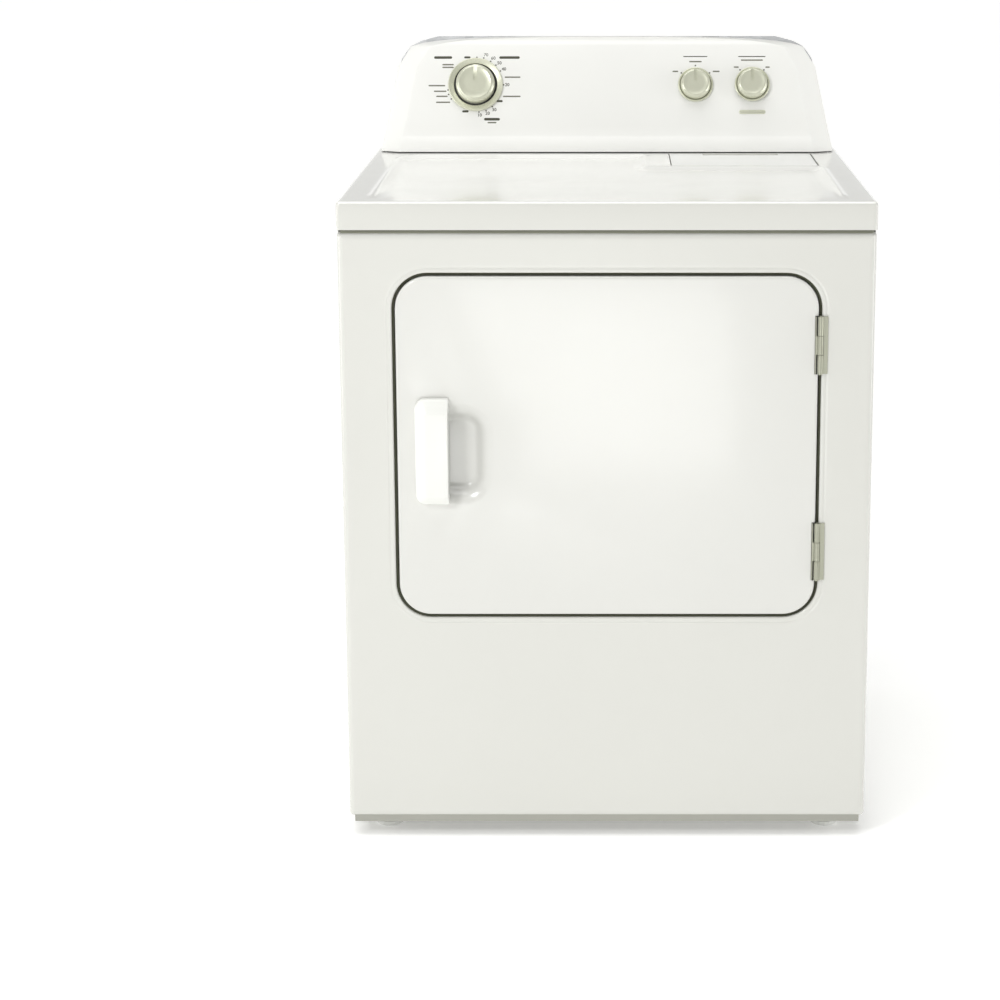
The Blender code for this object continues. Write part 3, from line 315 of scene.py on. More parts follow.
def new_piece(name, mesh, material, body, angle=40):
    """A finished piece that rides on a body."""
    obj = added(name, mesh)
    mesh.materials.append(material)
    mesh.shade_smooth()
    mesh.set_sharp_from_angle(angle=radians(angle))
    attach(obj, body)
    return obj


def piece_from(bm, name, material, body, angle=40):
    bmesh.ops.recalc_face_normals(bm, faces=bm.faces)
    return new_piece(name, mesh_from(bm, name), material, body, angle)


def arc(x, y, radius, start, sweep, steps=6):
    """Points along an arc, with its start and sweep in degrees."""
    return [(x + radius * cos(radians(start + sweep * i / steps)),
             y + radius * sin(radians(start + sweep * i / steps))) for i in range(steps + 1)]


def circles(profile, steps):
    """Circles round the Z axis, one for each (radius, height) of the profile."""
    return [[(r * cos(2 * pi * i / steps), r * sin(2 * pi * i / steps), h) for i in range(steps)]
            for r, h in profile]


def rounded(left, right, low, high, radius, steps=12):
    """Points round a rectangle with round corners."""
    corners = (
        (right - radius, low + radius, -90),
        (right - radius, high - radius, 0),
        (left + radius, high - radius, 90),
        (left + radius, low + radius, 180),
    )
    return [point for x, y, start in corners for point in arc(x, y, radius, start, 90, steps)]


def front_ring(bounds, grow, y, radius, steps=12):
    """A rounded rectangle standing in the front plane, moved outwards by grow."""
    left, right, low, high = bounds
    outline = rounded(left - grow, right + grow, low - grow, high + grow,
                      max(radius + grow, 0.0005), steps)
    return [(x, y, z) for x, z in outline]


def add_rings(bm, rings, closed=True):
    """Quads between successive rings. Returns the first and last ring's vertices."""
    rows = [[bm.verts.new(point) for point in ring] for ring in rings]
    count = len(rings[0])
    for lower, upper in zip(rows, rows[1:]):
        for i in range(count if closed else count - 1):
            j = (i + 1) % count
            bm.faces.new((lower[i], lower[j], upper[j], upper[i]))
    return rows[0], rows[-1]


def fill_between(bm, *loops):
    """Flat faces between closed loops of vertices that lie in one plane."""
    edges = []
    for loop in loops:
        for a, b in zip(loop, loop[1:] + loop[:1]):
            edge = bm.edges.get((a, b)) or bm.edges.new((a, b))
            edges.append(edge)
    bmesh.ops.triangle_fill(bm, use_beauty=True, use_dissolve=False, edges=edges)


def bend(radius, steps=6):
    """Offsets (outwards, back) of a rounded edge, from its face to its side."""
    return [
        (-radius + radius * sin(pi / 2 * i / steps), radius - radius * cos(pi / 2 * i / steps))
        for i in range(steps + 1)
    ]


def solidify(obj, thickness):
    shell = obj.modifiers.new("sheet", "SOLIDIFY")
    shell.thickness = thickness
    shell.offset = -1
    return obj


# ---- Sheet metal of the cabinet ----

EDGE_RETURN = 0.020
EDGE_BEND = 0.0095
TRAY_SHEET = 0.0012
THROAT_INSET = 0.025
THROAT_CORNER = 0.090


def front_panel():
    """The front, its door recess edges softly rolled, with a faint pressed line outside the gap."""
    bm = bmesh.new()
    outer = (PANEL_LOW.x, PANEL_HIGH.x, PANEL_LOW.z, PANEL_HIGH.z)
    back = PANEL_Y + EDGE_RETURN
    rings = [front_ring(outer, -0.0002, back, 0.006)]
    rings += [front_ring(outer, out, PANEL_Y + depth, 0.006) for out, depth in bend(EDGE_BEND)[::-1]]
    rings.append(front_ring(outer, -0.0110, PANEL_Y, 0.004))
    outer_rim = add_rings(bm, rings)[1]
    tray = PANEL_HIGH.y - TRAY_SHEET
    profile = [(0.0, tray - PANEL_Y), (0.0, 0.004)]
    profile += [(0.0024 - 0.0024 * cos(pi / 2 * i / 5), 0.0024 - 0.0024 * sin(pi / 2 * i / 5))
                for i in range(6)]
    profile += [(0.0052, 0.0), (0.0060, 0.00035), (0.0068, 0.00045), (0.0076, 0.00035),
                (0.0084, 0.0), (0.0100, 0.0)]
    rings = [front_ring(HOLE, out, PANEL_Y + depth, HOLE_CORNER) for out, depth in profile]
    tray_rim, face_rim = add_rings(bm, rings)
    fill_between(bm, outer_rim, face_rim)
    throat_low, throat_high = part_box("door_seal")
    throat = (throat_low.x + THROAT_INSET, throat_high.x - THROAT_INSET,
              throat_low.z + THROAT_INSET, throat_high.z - THROAT_INSET)
    lip = [(0.0, 0.010), (0.0, 0.003), (0.0009, 0.0009), (0.003, 0.0), (0.005, 0.0)]
    rings = [front_ring(throat, out, tray + depth, THROAT_CORNER) for out, depth in lip]
    ledge_rim = add_rings(bm, rings)[1]
    fill_between(bm, tray_rim, ledge_rim)
    panel = piece_from(bm, "front_panel_sheet", ENAMEL, "cabinet")
    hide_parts("front_panel")


# The dished field's margins: from the top's edges, from the console, and from the lint cover
FIELD_LEFT, FIELD_RIGHT, FIELD_FRONT = 0.0458, 0.0438, 0.10
FIELD_BACK, FIELD_SHELF = 0.034, 0.020
FIELD_STEP = 0.058  # where the field's back edge steps forward, across the machine
DISH_DEPTH, DISH_SLOPE = 0.0042, 0.016
RIB_HEIGHT, RIB_WIDTH = 0.0021, 0.0034
TOP_ROLL = 0.0055
GRID_STEP = 0.0036
COVER_GAP_X, COVER_GAP_Y, COVER_LIP = 0.0018, 0.0012, 0.002


def field_distance(x, y, outline):
    """Signed distance to the outline of the top's dished field: positive inside."""
    inside = False
    nearest = 1e9
    for (ax, ay), (bx, by) in zip(outline, outline[1:] + outline[:1]):
        dx, dy = bx - ax, by - ay
        share = max(0.0, min(1.0, ((x - ax) * dx + (y - ay) * dy) / (dx * dx + dy * dy)))
        nearest = min(nearest, (x - ax - share * dx) ** 2 + (y - ay - share * dy) ** 2)
        if (ay > y) != (by > y) and x < ax + (y - ay) / (by - ay) * (bx - ax):
            inside = not inside
    return sqrt(nearest) * (1 if inside else -1)


def field_outline():
    """The dished field of the top: round back-left corner, and a step forward round the lint cover."""
    left, right = TOP_LOW.x + FIELD_LEFT, TOP_HIGH.x - FIELD_RIGHT
    front = TOP_LOW.y - FIELD_FRONT
    back, shelf = CONSOLE_LOW.y - FIELD_BACK, SCREEN_LOW.y - FIELD_SHELF
    outline = [(left, front), (right, front)]
    outline += arc(right - 0.022, shelf - 0.022, 0.022, 0, 90)
    outline += arc(FIELD_STEP + 0.010, shelf + 0.010, 0.010, 270, -90)
    outline += arc(FIELD_STEP - 0.006, back - 0.006, 0.006, 0, 90)
    outline += arc(left + 0.045, back - 0.045, 0.045, 90, 90)
    return outline


def smoothstep(value):
    """A smooth rise from 0 to 1, level at both ends."""
    value = max(0.0, min(1.0, value))
    return value * value * (3 - 2 * value)


def top_height(x, y, outline):
    """Height of the top above its rim: a shallow dish inside a rounded rib that fades to the front."""
    inside = field_distance(x, y, outline)
    fade = smoothstep((y - (TOP_LOW.y + 0.035)) / 0.030)
    dish = -DISH_DEPTH * smoothstep(inside / DISH_SLOPE) * smoothstep((y - TOP_LOW.y - 0.02) / 0.25)
    rib = RIB_HEIGHT * exp(-((inside + 0.001) / RIB_WIDTH) ** 2) * fade
    return dish + rib


def grid_lines(low, high, step, exact):
    """Evenly spaced lines with a few exact ones, none closer than a third of a step to those."""
    count = round((high - low) / step)
    lines = [low + (high - low) * i / count for i in range(count + 1)]
    lines = [v for v in lines if min(abs(v - e) for e in exact) > step / 3]
    return sorted(lines + list(exact))


def top_panel():
    """The top as one sheet: rounded skirt edges, dished field, and the lint cover's opening."""
    radius = TOP_ROLL
    left, right = TOP_LOW.x, TOP_HIGH.x
    front, back = TOP_LOW.y, TOP_HIGH.y
    pocket = (SCREEN_LOW.x - COVER_GAP_X, SCREEN_HIGH.x + COVER_GAP_X,
              SCREEN_LOW.y - COVER_GAP_Y, SCREEN_HIGH.y + COVER_GAP_Y)
    edges = [0, 0.0008, 0.0018, 0.003, 0.0042, radius]
    xs = [left + e for e in edges[:-1]] + [right - e for e in edges[:-1]]
    ys = [front + e for e in edges[:-1]] + [back - e for e in edges[:-1]]
    outline = field_outline()
    xs = sorted(xs + grid_lines(left + radius, right - radius, GRID_STEP, (
        left + radius, right - radius, *pocket[:2], pocket[0] - COVER_LIP, pocket[1] + COVER_LIP)))
    ys = sorted(ys + grid_lines(front + radius, back - radius, GRID_STEP, (
        front + radius, back - radius, *pocket[2:], pocket[2] - COVER_LIP)))
    bm = bmesh.new()

    def corner(x, y):
        """The sheet's point for a grid crossing, rolled over its edges and rounded in plan."""
        dx = max(left + radius - x, 0, x - (right - radius))
        dy = max(front + radius - y, 0, y - (back - radius))
        away = sqrt(dx * dx + dy * dy)
        if away > radius:
            x += (dx - dx * radius / away) * (1 if x < 0 else -1)
            y += (dy - dy * radius / away) * (1 if y < (front + back) / 2 else -1)
            away = radius
        drop = radius - sqrt(max(radius * radius - away * away, 0))
        return (x, y, TOP_Z - drop + top_height(x, y, outline))

    rows = [[bm.verts.new(corner(x, y)) for x in xs] for y in ys]
    for j in range(len(ys) - 1):
        for i in range(len(xs) - 1):
            middle_x, middle_y = (xs[i] + xs[i + 1]) / 2, (ys[j] + ys[j + 1]) / 2
            if pocket[0] < middle_x < pocket[1] and pocket[2] < middle_y < pocket[3]:
                continue
            bm.faces.new((rows[j][i], rows[j][i + 1], rows[j + 1][i + 1], rows[j + 1][i]))
    bmesh.ops.delete(bm, geom=[v for v in bm.verts if not v.link_faces], context="VERTS")
    drop_border(bm, lambda p: p.z < TOP_Z - radius * 0.9, TOP_LOW.z)
    drop_border(bm, lambda p: p.z >= TOP_Z - radius * 0.9, TOP_Z - 0.010)
    bmesh.ops.remove_doubles(bm, verts=bm.verts, dist=0.00005)
    panel = piece_from(bm, "top_panel_sheet", LIT_TOP_ENAMEL, "cabinet", 50)
    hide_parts("top_panel")
    panel.data.materials.append(ENAMEL)  # the rolled edges and the skirt
    # Upward faces take the brighter enamel and the rest the darker one: light and shade painted by how each face
    # is turned.
    for face in panel.data.polygons:
        face.material_index = int(face.normal.z < 0.6)


def drop_border(bm, chosen, low):
    """Border edges whose points are all chosen are drawn straight down to a height."""
    border = [e for e in bm.edges if e.is_boundary and all(chosen(v.co) for v in e.verts)]
    made = bmesh.ops.extrude_edge_only(bm, edges=border)["geom"]
    for vert in made:
        if isinstance(vert, bmesh.types.BMVert):
            vert.co.z = low


# ---- Console ----

BASE_GAP = 0.0014
COVE_RISE, COVE_DEPTH = 0.0266, 0.0125
FACE_HEIGHT, ROLL_START, ROLL_DEPTH = 0.104, 0.134, 0.017
ARCH_START = CONSOLE_LOW.z + 0.132
BASE_HALF, TAPER = 0.3590, 0.20
CONSOLE_SHADE_HALF = 0.322


def console_levels():
    """(height, half-width, front) up the console, from its base cove to its rounded top."""
    low, crease_z = CONSOLE_LOW.z + BASE_GAP, CONSOLE_LOW.z + COVE_RISE
    crease_y = CONSOLE_LOW.y + COVE_DEPTH
    slope = sin(LEAN) / cos(LEAN)
    levels = []
    for i in range(9):
        t = i / 8
        levels.append((low + (crease_z - low) * t, CONSOLE_LOW.y + COVE_DEPTH * t ** 1.5))
    levels += [(crease_z + FACE_HEIGHT * i / 8, crease_y + slope * FACE_HEIGHT * i / 8)
               for i in range(1, 9)]
    roll_z = crease_z + ROLL_START
    roll_y = crease_y + slope * ROLL_START
    top_z = CONSOLE_HIGH.z
    for i in range(1, 25):
        share = 1 - i / 25
        z = ARCH_START + (top_z - ARCH_START) * (1 - share ** 3) ** 0.2
        if z <= roll_z:
            y = crease_y + slope * (z - crease_z)
        else:
            rise = min((z - roll_z) / (top_z - roll_z), 1)
            y = roll_y + slope * (z - roll_z) * 0.3 + ROLL_DEPTH * (1 - sqrt(1 - rise * rise))
        levels.append((z, y))
    return sorted((z, half_width(z), y) for z, y in levels)


def half_width(z):
    """The console's half-width: a straight taper that rounds over into a slightly arched top."""
    taper = BASE_HALF - TAPER * (z - CONSOLE_LOW.z)
    rise = max(0.0, (z - ARCH_START) / (CONSOLE_HIGH.z - ARCH_START))
    return taper * max(1 - rise ** 5, 0) ** (1 / 3)


def console_section(z, half, front, back, steps=5):
    """One level in plan: straight back edge, a flat facet turned back at each end, a round side edge."""
    wing, depth, round_over = 0.0285, 0.0135, 0.0035
    right = [(half, back), (half, front + depth + round_over)]
    for i in range(1, steps + 1):
        turn = radians(62) * i / steps
        right.append((half - round_over * (1 - cos(turn)),
                      front + depth + round_over * (1 - sin(turn))))
    right += [(half - wing, front + 0.0009), (half - wing - 0.0016, front + 0.0002),
              (half - wing - 0.0036, front)]
    return [(x, y, z) for x, y in right] + [(-x, y, z) for x, y in right[::-1]]


def console():
    """The console's shell, and a black strip set in the gap under it as painted shade for that gap."""
    bm = bmesh.new()
    back = CONSOLE_HIGH.y
    rings = [console_section(z, half, min(front, back - 0.018), back)
             for z, half, front in console_levels() if half > 0.05]
    rows = add_rings(bm, rings, closed=False)
    bm.faces.new(rows[1])
    fascia = piece_from(bm, "console_shell", CONSOLE_WHITE, "cabinet", 60)
    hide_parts("console_fascia")
    # A black strip in the gap under the console: painted shade, standing in for the dark line of that gap.
    bm = bmesh.new()
    outline = rounded(-CONSOLE_SHADE_HALF, CONSOLE_SHADE_HALF, CONSOLE_LOW.y + 0.0060, back - 0.004, 0.012, 5)
    rings = [[(x, y, z) for x, y in outline]
             for z in (CONSOLE_LOW.z - 0.0002, CONSOLE_LOW.z + BASE_GAP + 0.003)]
    add_rings(bm, rings)
    console_shade_strip = piece_from(bm, "console_gap_shade_strip", BLACK, "cabinet")
    solidify(console_shade_strip, 0.002)


# ---- Door ----

DOOR_BEND = 0.0036
# The finger recess, from the handle's lower left corner
RECESS_LEFT, RECESS_RIGHT, RECESS_LOW, RECESS_HIGH = 0.016, 0.1015, 0.0027, 0.1343
RECESS_CORNER = 0.036
HANDLE_CORNER = 0.014


def door_panel():
    """The door's outer sheet: rolled edges, and a scooped finger recess beside the handle."""
    bm = bmesh.new()
    edge = (DOOR_LOW.x, DOOR_HIGH.x, DOOR_LOW.z, DOOR_HIGH.z)
    rings = [front_ring(edge, 0, DOOR_HIGH.y, DOOR_CORNER)]
    rings += [front_ring(edge, out, DOOR_Y + depth, DOOR_CORNER)
              for out, depth in bend(DOOR_BEND)[::-1]]
    rings.append(front_ring(edge, -0.0050, DOOR_Y, DOOR_CORNER))
    outer_rim = add_rings(bm, rings)[1]
    recess = (HANDLE_LOW.x + RECESS_LEFT, HANDLE_LOW.x + RECESS_RIGHT,
              HANDLE_LOW.z + RECESS_LOW, HANDLE_LOW.z + RECESS_HIGH)
    scoop = [(0.0070, 0.0), (0.0045, 0.0002), (0.0020, 0.0007), (-0.0010, 0.0017),
             (-0.0040, 0.0031), (-0.0070, 0.0049), (-0.0100, 0.0074), (-0.0128, 0.0108),
             (-0.0152, 0.0138), (-0.0178, 0.0158), (-0.0205, 0.0168), (-0.0225, 0.0170)]
    rings = [front_ring(recess, out, DOOR_Y + depth, RECESS_CORNER) for out, depth in scoop]
    recess_rim, floor_rim = add_rings(bm, rings)
    fill_between(bm, outer_rim, recess_rim)
    bm.faces.new(floor_rim)
    panel = piece_from(bm, "door_skin", DOOR_ENAMEL, "door")
    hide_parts("door_outer_panel")
    for name in ("upper", "lower"):
        low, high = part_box(f"{name}_hinge_cabinet_leaf")
        carve(panel, block((DOOR_HIGH.x - 0.0052, DOOR_Y - 0.01, low.z - 0.001),
                           (DOOR_HIGH.x + 0.01, DOOR_Y + 0.03, high.z + 0.001)))


def block(low, high):
    """A temporary cutter between two corners."""
    bm = bmesh.new()
    bmesh.ops.create_cube(bm, size=1)
    low, high = Vector(low), Vector(high)
    bmesh.ops.scale(bm, vec=high - low, verts=bm.verts)
    bmesh.ops.translate(bm, vec=(low + high) / 2, verts=bm.verts)
    return temporary(bm)


def temporary(bm):
    """A cutter, which carve() removes again."""
    bmesh.ops.recalc_face_normals(bm, faces=bm.faces)
    return added("temporary", mesh_from(bm, "temporary"))


def carve(obj, cutter, angle=40):
    """Cuts the cutter's shape from the piece, for good, and removes the cutter."""
    modifier = obj.modifiers.new("carve", "BOOLEAN")
    modifier.operation = "DIFFERENCE"
    modifier.object = cutter
    modifier.solver = "EXACT"
    bpy.context.view_layer.update()
    graph = bpy.context.evaluated_depsgraph_get()
    mesh = bpy.data.meshes.new_from_object(obj.evaluated_get(graph))
    obj.modifiers.remove(modifier)
    obj.data = mesh
    bpy.data.objects.remove(cutter, do_unlink=True)
    mesh.shade_smooth()
    mesh.set_sharp_from_angle(angle=radians(angle))


def door_handle():
    """The pull: a soft block with broad chamfers, and a finger gap behind its straight right edge."""
    bm = bmesh.new()
    front, back = HANDLE_LOW.y, HANDLE_HIGH.y
    depth = back - front
    levels = []
    for share in (0.0, 0.25, 0.45):
        levels.append((0.0, 0.0, 0.0, 0.0, back - depth * share, HANDLE_CORNER))
    for inset, rise in ((0.02, 0.50), (0.07, 0.55), (0.15, 0.595), (0.85, 0.935), (0.94, 0.975)):
        levels.append((0.0140 * inset, 0.0190 * inset, 0.0130 * inset, 0.0010 * inset,
                       back - depth * rise, HANDLE_CORNER - 0.0105 * inset))
    levels.append((0.0158, 0.0208, 0.0146, 0.0026, front, 0.0022))
    rings = [handle_ring(*level) for level in levels]
    for rim in add_rings(bm, rings):
        bm.faces.new(rim)
    handle = piece_from(bm, "door_pull", HANDLE_WHITE, "door", 50)
    carve(handle, block((HANDLE_LOW.x + 0.019, front + 0.0068, HANDLE_LOW.z + 0.014),
                        (HANDLE_HIGH.x + 0.01, back - 0.0006, HANDLE_HIGH.z - 0.019)), 50)
    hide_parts("door_handle")


def handle_ring(left, top, bottom, right, y, radius, steps=8):
    """One level of the handle: round corners on its left, tight ones on its right."""
    x0, x1 = HANDLE_LOW.x + left, HANDLE_HIGH.x - right
    z0, z1 = HANDLE_LOW.z + bottom, HANDLE_HIGH.z - top
    tight = 0.0012
    corners = (
        (x1 - tight, z0 + tight, tight, -90),
        (x1 - tight, z1 - tight, tight, 0),
        (x0 + radius, z1 - radius, radius, 90),
        (x0 + radius, z0 + radius, radius, 180),
    )
    return [(x, y, z) for corner in corners for x, z in arc(*corner, 90, steps)]


def gap_shade_strips():
    """Dark strips that paint shade: an olive bulb lining the door recess, for the shade in the door gap, and an
    olive strip under the top's front edge, for the shade in that gap.
    """
    bm = bmesh.new()
    bulb = [(-0.0001, 0.0052), (-0.0014, 0.0044), (-0.0028, 0.0050), (-0.0034, 0.0066),
            (-0.0030, 0.0084), (-0.0014, 0.0094), (-0.0001, 0.0090), (-0.0001, 0.0052)]
    add_rings(bm, [front_ring(HOLE, out, PANEL_Y + depth, HOLE_CORNER) for out, depth in bulb])
    bmesh.ops.remove_doubles(bm, verts=bm.verts, dist=0.000001)
    # The olive bulb in the door recess is painted shade for the door gap.
    recess_shade_strip = piece_from(bm, "door_recess_shade_strip", GAP_SHADE_OLIVE, "cabinet")
    for name in ("upper", "lower"):
        low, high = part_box(f"{name}_hinge_cabinet_leaf")
        carve(recess_shade_strip, block((DOOR_HIGH.x - 0.006, PANEL_Y - 0.01, low.z - 0.0005),
                          (DOOR_HIGH.x + 0.02, PANEL_Y + 0.02, high.z + 0.0005)))
    # An olive strip under the top's front edge: painted shade for the gap between the top and the front.
    bm = bmesh.new()
    gap_low, gap_high = PANEL_HIGH.z, TOP_LOW.z
    ring = rounded(PANEL_LOW.x + 0.004, PANEL_HIGH.x - 0.004, PANEL_Y + 0.004, REAR_LOW.y - 0.002,
                   0.004, 4)
    rows = [[(x, y, z) for x, y in ring] for z in (gap_low - 0.004, gap_low, gap_high + 0.006)]
    add_rings(bm, rows)
    top_gap_shade_piece = piece_from(bm, "top_gap_shade_strip", TOP_GAP_SHADE_PAINT, "cabinet")
    solidify(top_gap_shade_piece, 0.002)


# ---- Knobs and printed marks ----

# Radius of the skirt and of the cap, then the heights of the cap's top and of the skirt's base
KNOBS = {
    "timer_knob": (0.0435, 0.0304, 0.0160, 0.0009),
    "temperature_knob": (0.0280, 0.0233, 0.0145, 0.0009),
    "start_knob": (0.0280, 0.0233, 0.0185, 0.0040),
}
KNOB_JOINTS = {
    "timer_knob": "timer_turn",
    "temperature_knob": "temperature_turn",
    "start_knob": "start_turn",
}


SPINDLE = 0.005  # a profile that starts inside this radius is closed


def on_slope(place):
    """The transform that stands a shape on the sloped face at a place."""
    return Matrix.Translation(place) @ FACE_BASIS.to_4x4()


def spun(name, profile, place, material, body, steps=96):
    """A turned piece: (radius, height) along the face's normal, at a place on the face."""
    bm = bmesh.new()
    rims = add_rings(bm, circles(profile, steps))
    if profile[0][0] < SPINDLE:
        for rim in rims:
            bm.faces.new(rim)
    bmesh.ops.recalc_face_normals(bm, faces=bm.faces)
    bmesh.ops.transform(bm, matrix=on_slope(place), verts=bm.verts)
    return new_piece(name, mesh_from(bm, name), material, body, 50)


def knob(node):
    """A turned knob: a flat skirt with a raised rim, a moat with a black ring in it that paints the moat's shade,
    and a bevelled cap with a groove.
    """
    skirt, cap, top, base = KNOBS[node]
    place = Vector(JOINTS[KNOB_JOINTS[node]]["pos_m"])
    moat = cap + (skirt - cap) * 0.30
    bevel = cap * 0.86
    profile = [
        (0.004, base), (skirt - 0.0004, base), (skirt, base + 0.0006), (skirt, base + 0.0022),
        (skirt - 0.0004, base + 0.0028), (skirt - 0.0012, base + 0.0031),
        (skirt - 0.0020, base + 0.0029), (skirt - 0.0026, base + 0.0024),
        (moat + 0.0008, base + 0.0024), (moat + 0.0002, base + 0.0020), (moat, base + 0.0012),
        (moat, base + 0.0004), (cap + 0.0010, base + 0.0004), (cap + 0.0006, base + 0.0030),
        (cap, top - 0.0042), (cap - 0.0003, top - 0.0034), (cap - 0.0010, top - 0.0028),
        (bevel + 0.0008, top - 0.0004), (bevel - 0.0002, top), (bevel - 0.0012, top),
        (bevel - 0.0022, top - 0.0004), (cap * 0.5, top - 0.0004), (cap * 0.06, top - 0.0003),
    ]
    turned = spun(f"{node}_cap", profile, place, CHAMPAGNE, node)
    width = 0.0024 if node == "timer_knob" else 0.0020
    for grow, low in ((0.0007, -0.0007), (0.0, -0.0024)):
        bm = bmesh.new()
        outline = rounded(-width - grow, width + grow, cap * 0.12 - grow, cap * 1.04,
                          width + grow - 0.0001, 6)
        rings = [[(x, y, z) for x, y in outline] for z in (top + low, top + 0.004)]
        for rim in add_rings(bm, rings):
            bm.faces.new(rim)
        bmesh.ops.transform(bm, matrix=on_slope(place), verts=bm.verts)
        carve(turned, temporary(bm), 50)
    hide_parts(node)
    # A black ring laid in the moat: painted shade for the shadow round the cap's foot.
    ring = [(cap + 0.0006, base + 0.0002), (cap + 0.0006, base + 0.0011),
            (moat + 0.0003, base + 0.0011), (moat + 0.0003, base + 0.0002)]
    spun(f"{node}_moat", ring, place, BLACK, node)


def on_face(centre_x, across, up, out):
    """A point across and up the sloped face from a knob's centre."""
    anchor = Vector(JOINTS["timer_turn"]["pos_m"])
    centre = Vector((centre_x, anchor.y, anchor.z))
    return centre + FACE_BASIS @ Vector((across, up, out))


class Print:
    """Marks printed on the console, gathered in one mesh and kept a hair above its face."""

    def __init__(self):
        self.bm = bmesh.new()

    def outline(self, centre_x, points):
        rings = [[on_face(centre_x, x, y, out) for x, y in points] for out in (-0.0002, 0.00012)]
        for rim in add_rings(self.bm, rings):
            self.bm.faces.new(rim)

    def dot(self, centre_x, x, y, radius=0.0012):
        ring, = circles([(radius, 0)], 16)
        self.outline(centre_x, [(x + across, y + up) for across, up, _ in ring])

    def bar(self, centre_x, x, y, length, height):
        half = height / 2
        self.outline(centre_x, rounded(x - length / 2, x + length / 2, y - half, y + half,
                                       half * 0.9, 3))

    def number(self, centre_x, x, y, text, size):
        curve = bpy.data.curves.new("number", "FONT")
        curve.body = text
        curve.size = size
        curve.align_x = "CENTER"
        curve.align_y = "CENTER"
        curve.extrude = 0.00015
        curve.offset = 0.00010
        curve.resolution_u = 3
        obj = added("number", curve)
        bpy.context.view_layer.update()
        mesh = bpy.data.meshes.new_from_object(
            obj.evaluated_get(bpy.context.evaluated_depsgraph_get()))
        mesh.transform(on_slope(on_face(centre_x, x, y, 0)))
        self.bm.from_mesh(mesh)
        bpy.data.objects.remove(obj, do_unlink=True)

    def finish(self, name, material):
        new_piece(name, mesh_from(self.bm, name), material, "cabinet")


# The printed scales in millimetres, across and up the face from a knob's centre. Dots are (x, y), numbers
# (text, x, y), bars (x, y, length, height) and labels (x, y, length). A small dial has its title's length,
# its dots and its labels.
MM = 0.001
NUMBER_SIZE = 0.0072
LABEL_HEIGHT = 0.0022
TITLE_UP, TITLE_HEIGHT = 0.0475, 0.0038
TIMER_DOTS = (
    (1.8, 45), (12.8, 44), (23.7, 38.5), (32.2, 32.3), (39.5, 22.7), (44.7, 0), (26.7, -35.7),
    (17, -41.9), (5.7, -44.6), (-43.7, -8.5), (-42.8, -15.8), (-38.6, -23.3),
)
TIMER_NUMBERS = (
    ("70", 16.4, 49), ("60", 28, 43.5), ("50", 37.7, 35.7), ("40", 45, 25.7), ("20", 50.4, 0),
    ("30", 30, -40.9), ("20", 19.4, -46.7), ("10", 6.9, -49.7),
)
TIMER_BARS = (
    (-13.4, 45, 10, 3.4), (38.3, -26.8, 10, 3.4), (-15.8, -43.5, 10, 3.4), (-52, 44.7, 28.6, 4.2),
    (53.8, 44.7, 32.6, 4.2), (26.5, -56.3, 25, 4.2),
)
TIMER_LABELS = (
    (1, 55, 16), (1, 50, 11), (-44, 33, 18), (-44, 28.6, 18), (58.8, 12.5, 25), (57.6, -19, 28),
    (-61.6, -1.4, 26.5), (-56.3, -10.6, 20), (-53.4, -18.9, 18), (-51.4, -28.6, 22.5),
    (26.5, -61.8, 14),
)
SMALL_DIALS = {
    "temperature_knob": (39, ((-22.5, 19.5), (0, 31.5), (22.5, 19.5)),
                         ((-32, 22, 9), (0, 38, 20), (33, 22, 11))),
    "start_knob": (44, ((-19, 24.5), (19, 24.5)), ((-25, 29, 8), (25, 29, 7), (0, 40.5, 35))),
}


def printed_marks():
    """The scales: dots, numbers, and plain bars where the words would be."""
    dark, grey = Print(), Print()
    timer = JOINTS["timer_turn"]["pos_m"][0]
    for x, y in TIMER_DOTS:
        dark.dot(timer, x * MM, y * MM)
    for text, x, y in TIMER_NUMBERS:
        dark.number(timer, x * MM, y * MM, text, NUMBER_SIZE)
    for x, y, length, height in TIMER_BARS:
        dark.bar(timer, x * MM, y * MM, length * MM, height * MM)
    for x, y, length in TIMER_LABELS:
        grey.bar(timer, x * MM, y * MM, length * MM, LABEL_HEIGHT)
    for node, (title, dots, labels) in SMALL_DIALS.items():
        centre = JOINTS[KNOB_JOINTS[node]]["pos_m"][0]
        dark.bar(centre, 0, TITLE_UP, title * MM, TITLE_HEIGHT)
        for x, y in dots:
            dark.dot(centre, x * MM, y * MM)
        for x, y, length in labels:
            grey.bar(centre, x * MM, y * MM, length * MM, LABEL_HEIGHT)
    dark.finish("console_print_dark", INK)
    grey.finish("console_print_grey", SOFT_INK)


BADGE_HALF_LENGTH, BADGE_HALF_HEIGHT, BADGE_DOWN = 0.021, 0.0032, 0.0445


def badge():
    """A plain oval trim plate, with nothing on it."""
    start = JOINTS["start_turn"]["pos_m"][0]
    bm = bmesh.new()
    rings = []
    for grow, out in ((0, -0.0002), (0, 0.0008), (-0.0003, 0.0011), (-0.0008, 0.0012)):
        half_x, half_y = BADGE_HALF_LENGTH + grow, BADGE_HALF_HEIGHT + grow
        outline = rounded(-half_x, half_x, -half_y, half_y, 0.0031 + grow, 8)
        rings.append([on_face(start, x, y - BADGE_DOWN, out) for x, y in outline])
    rims = add_rings(bm, rings)
    bm.faces.new(rims[1])
    piece_from(bm, "console_badge", CHAMPAGNE, "cabinet")


# The lint screen's frame: its side rails and half its middle rail, its foot's height, and how far the
# rung's two edges and the frame's top lie below the cover; then the blade's place, half-thickness and cloth
RAIL, HALF_RAIL = 0.0252, 0.004
FRAME_BOTTOM, RUNG_LOW, RUNG_HIGH, FRAME_TOP = 0.012, 0.2434, 0.2314, 0.0334
BLADE_BACK, BLADE_HALF, CLOTH = 0.0342, 0.0038, 0.0004


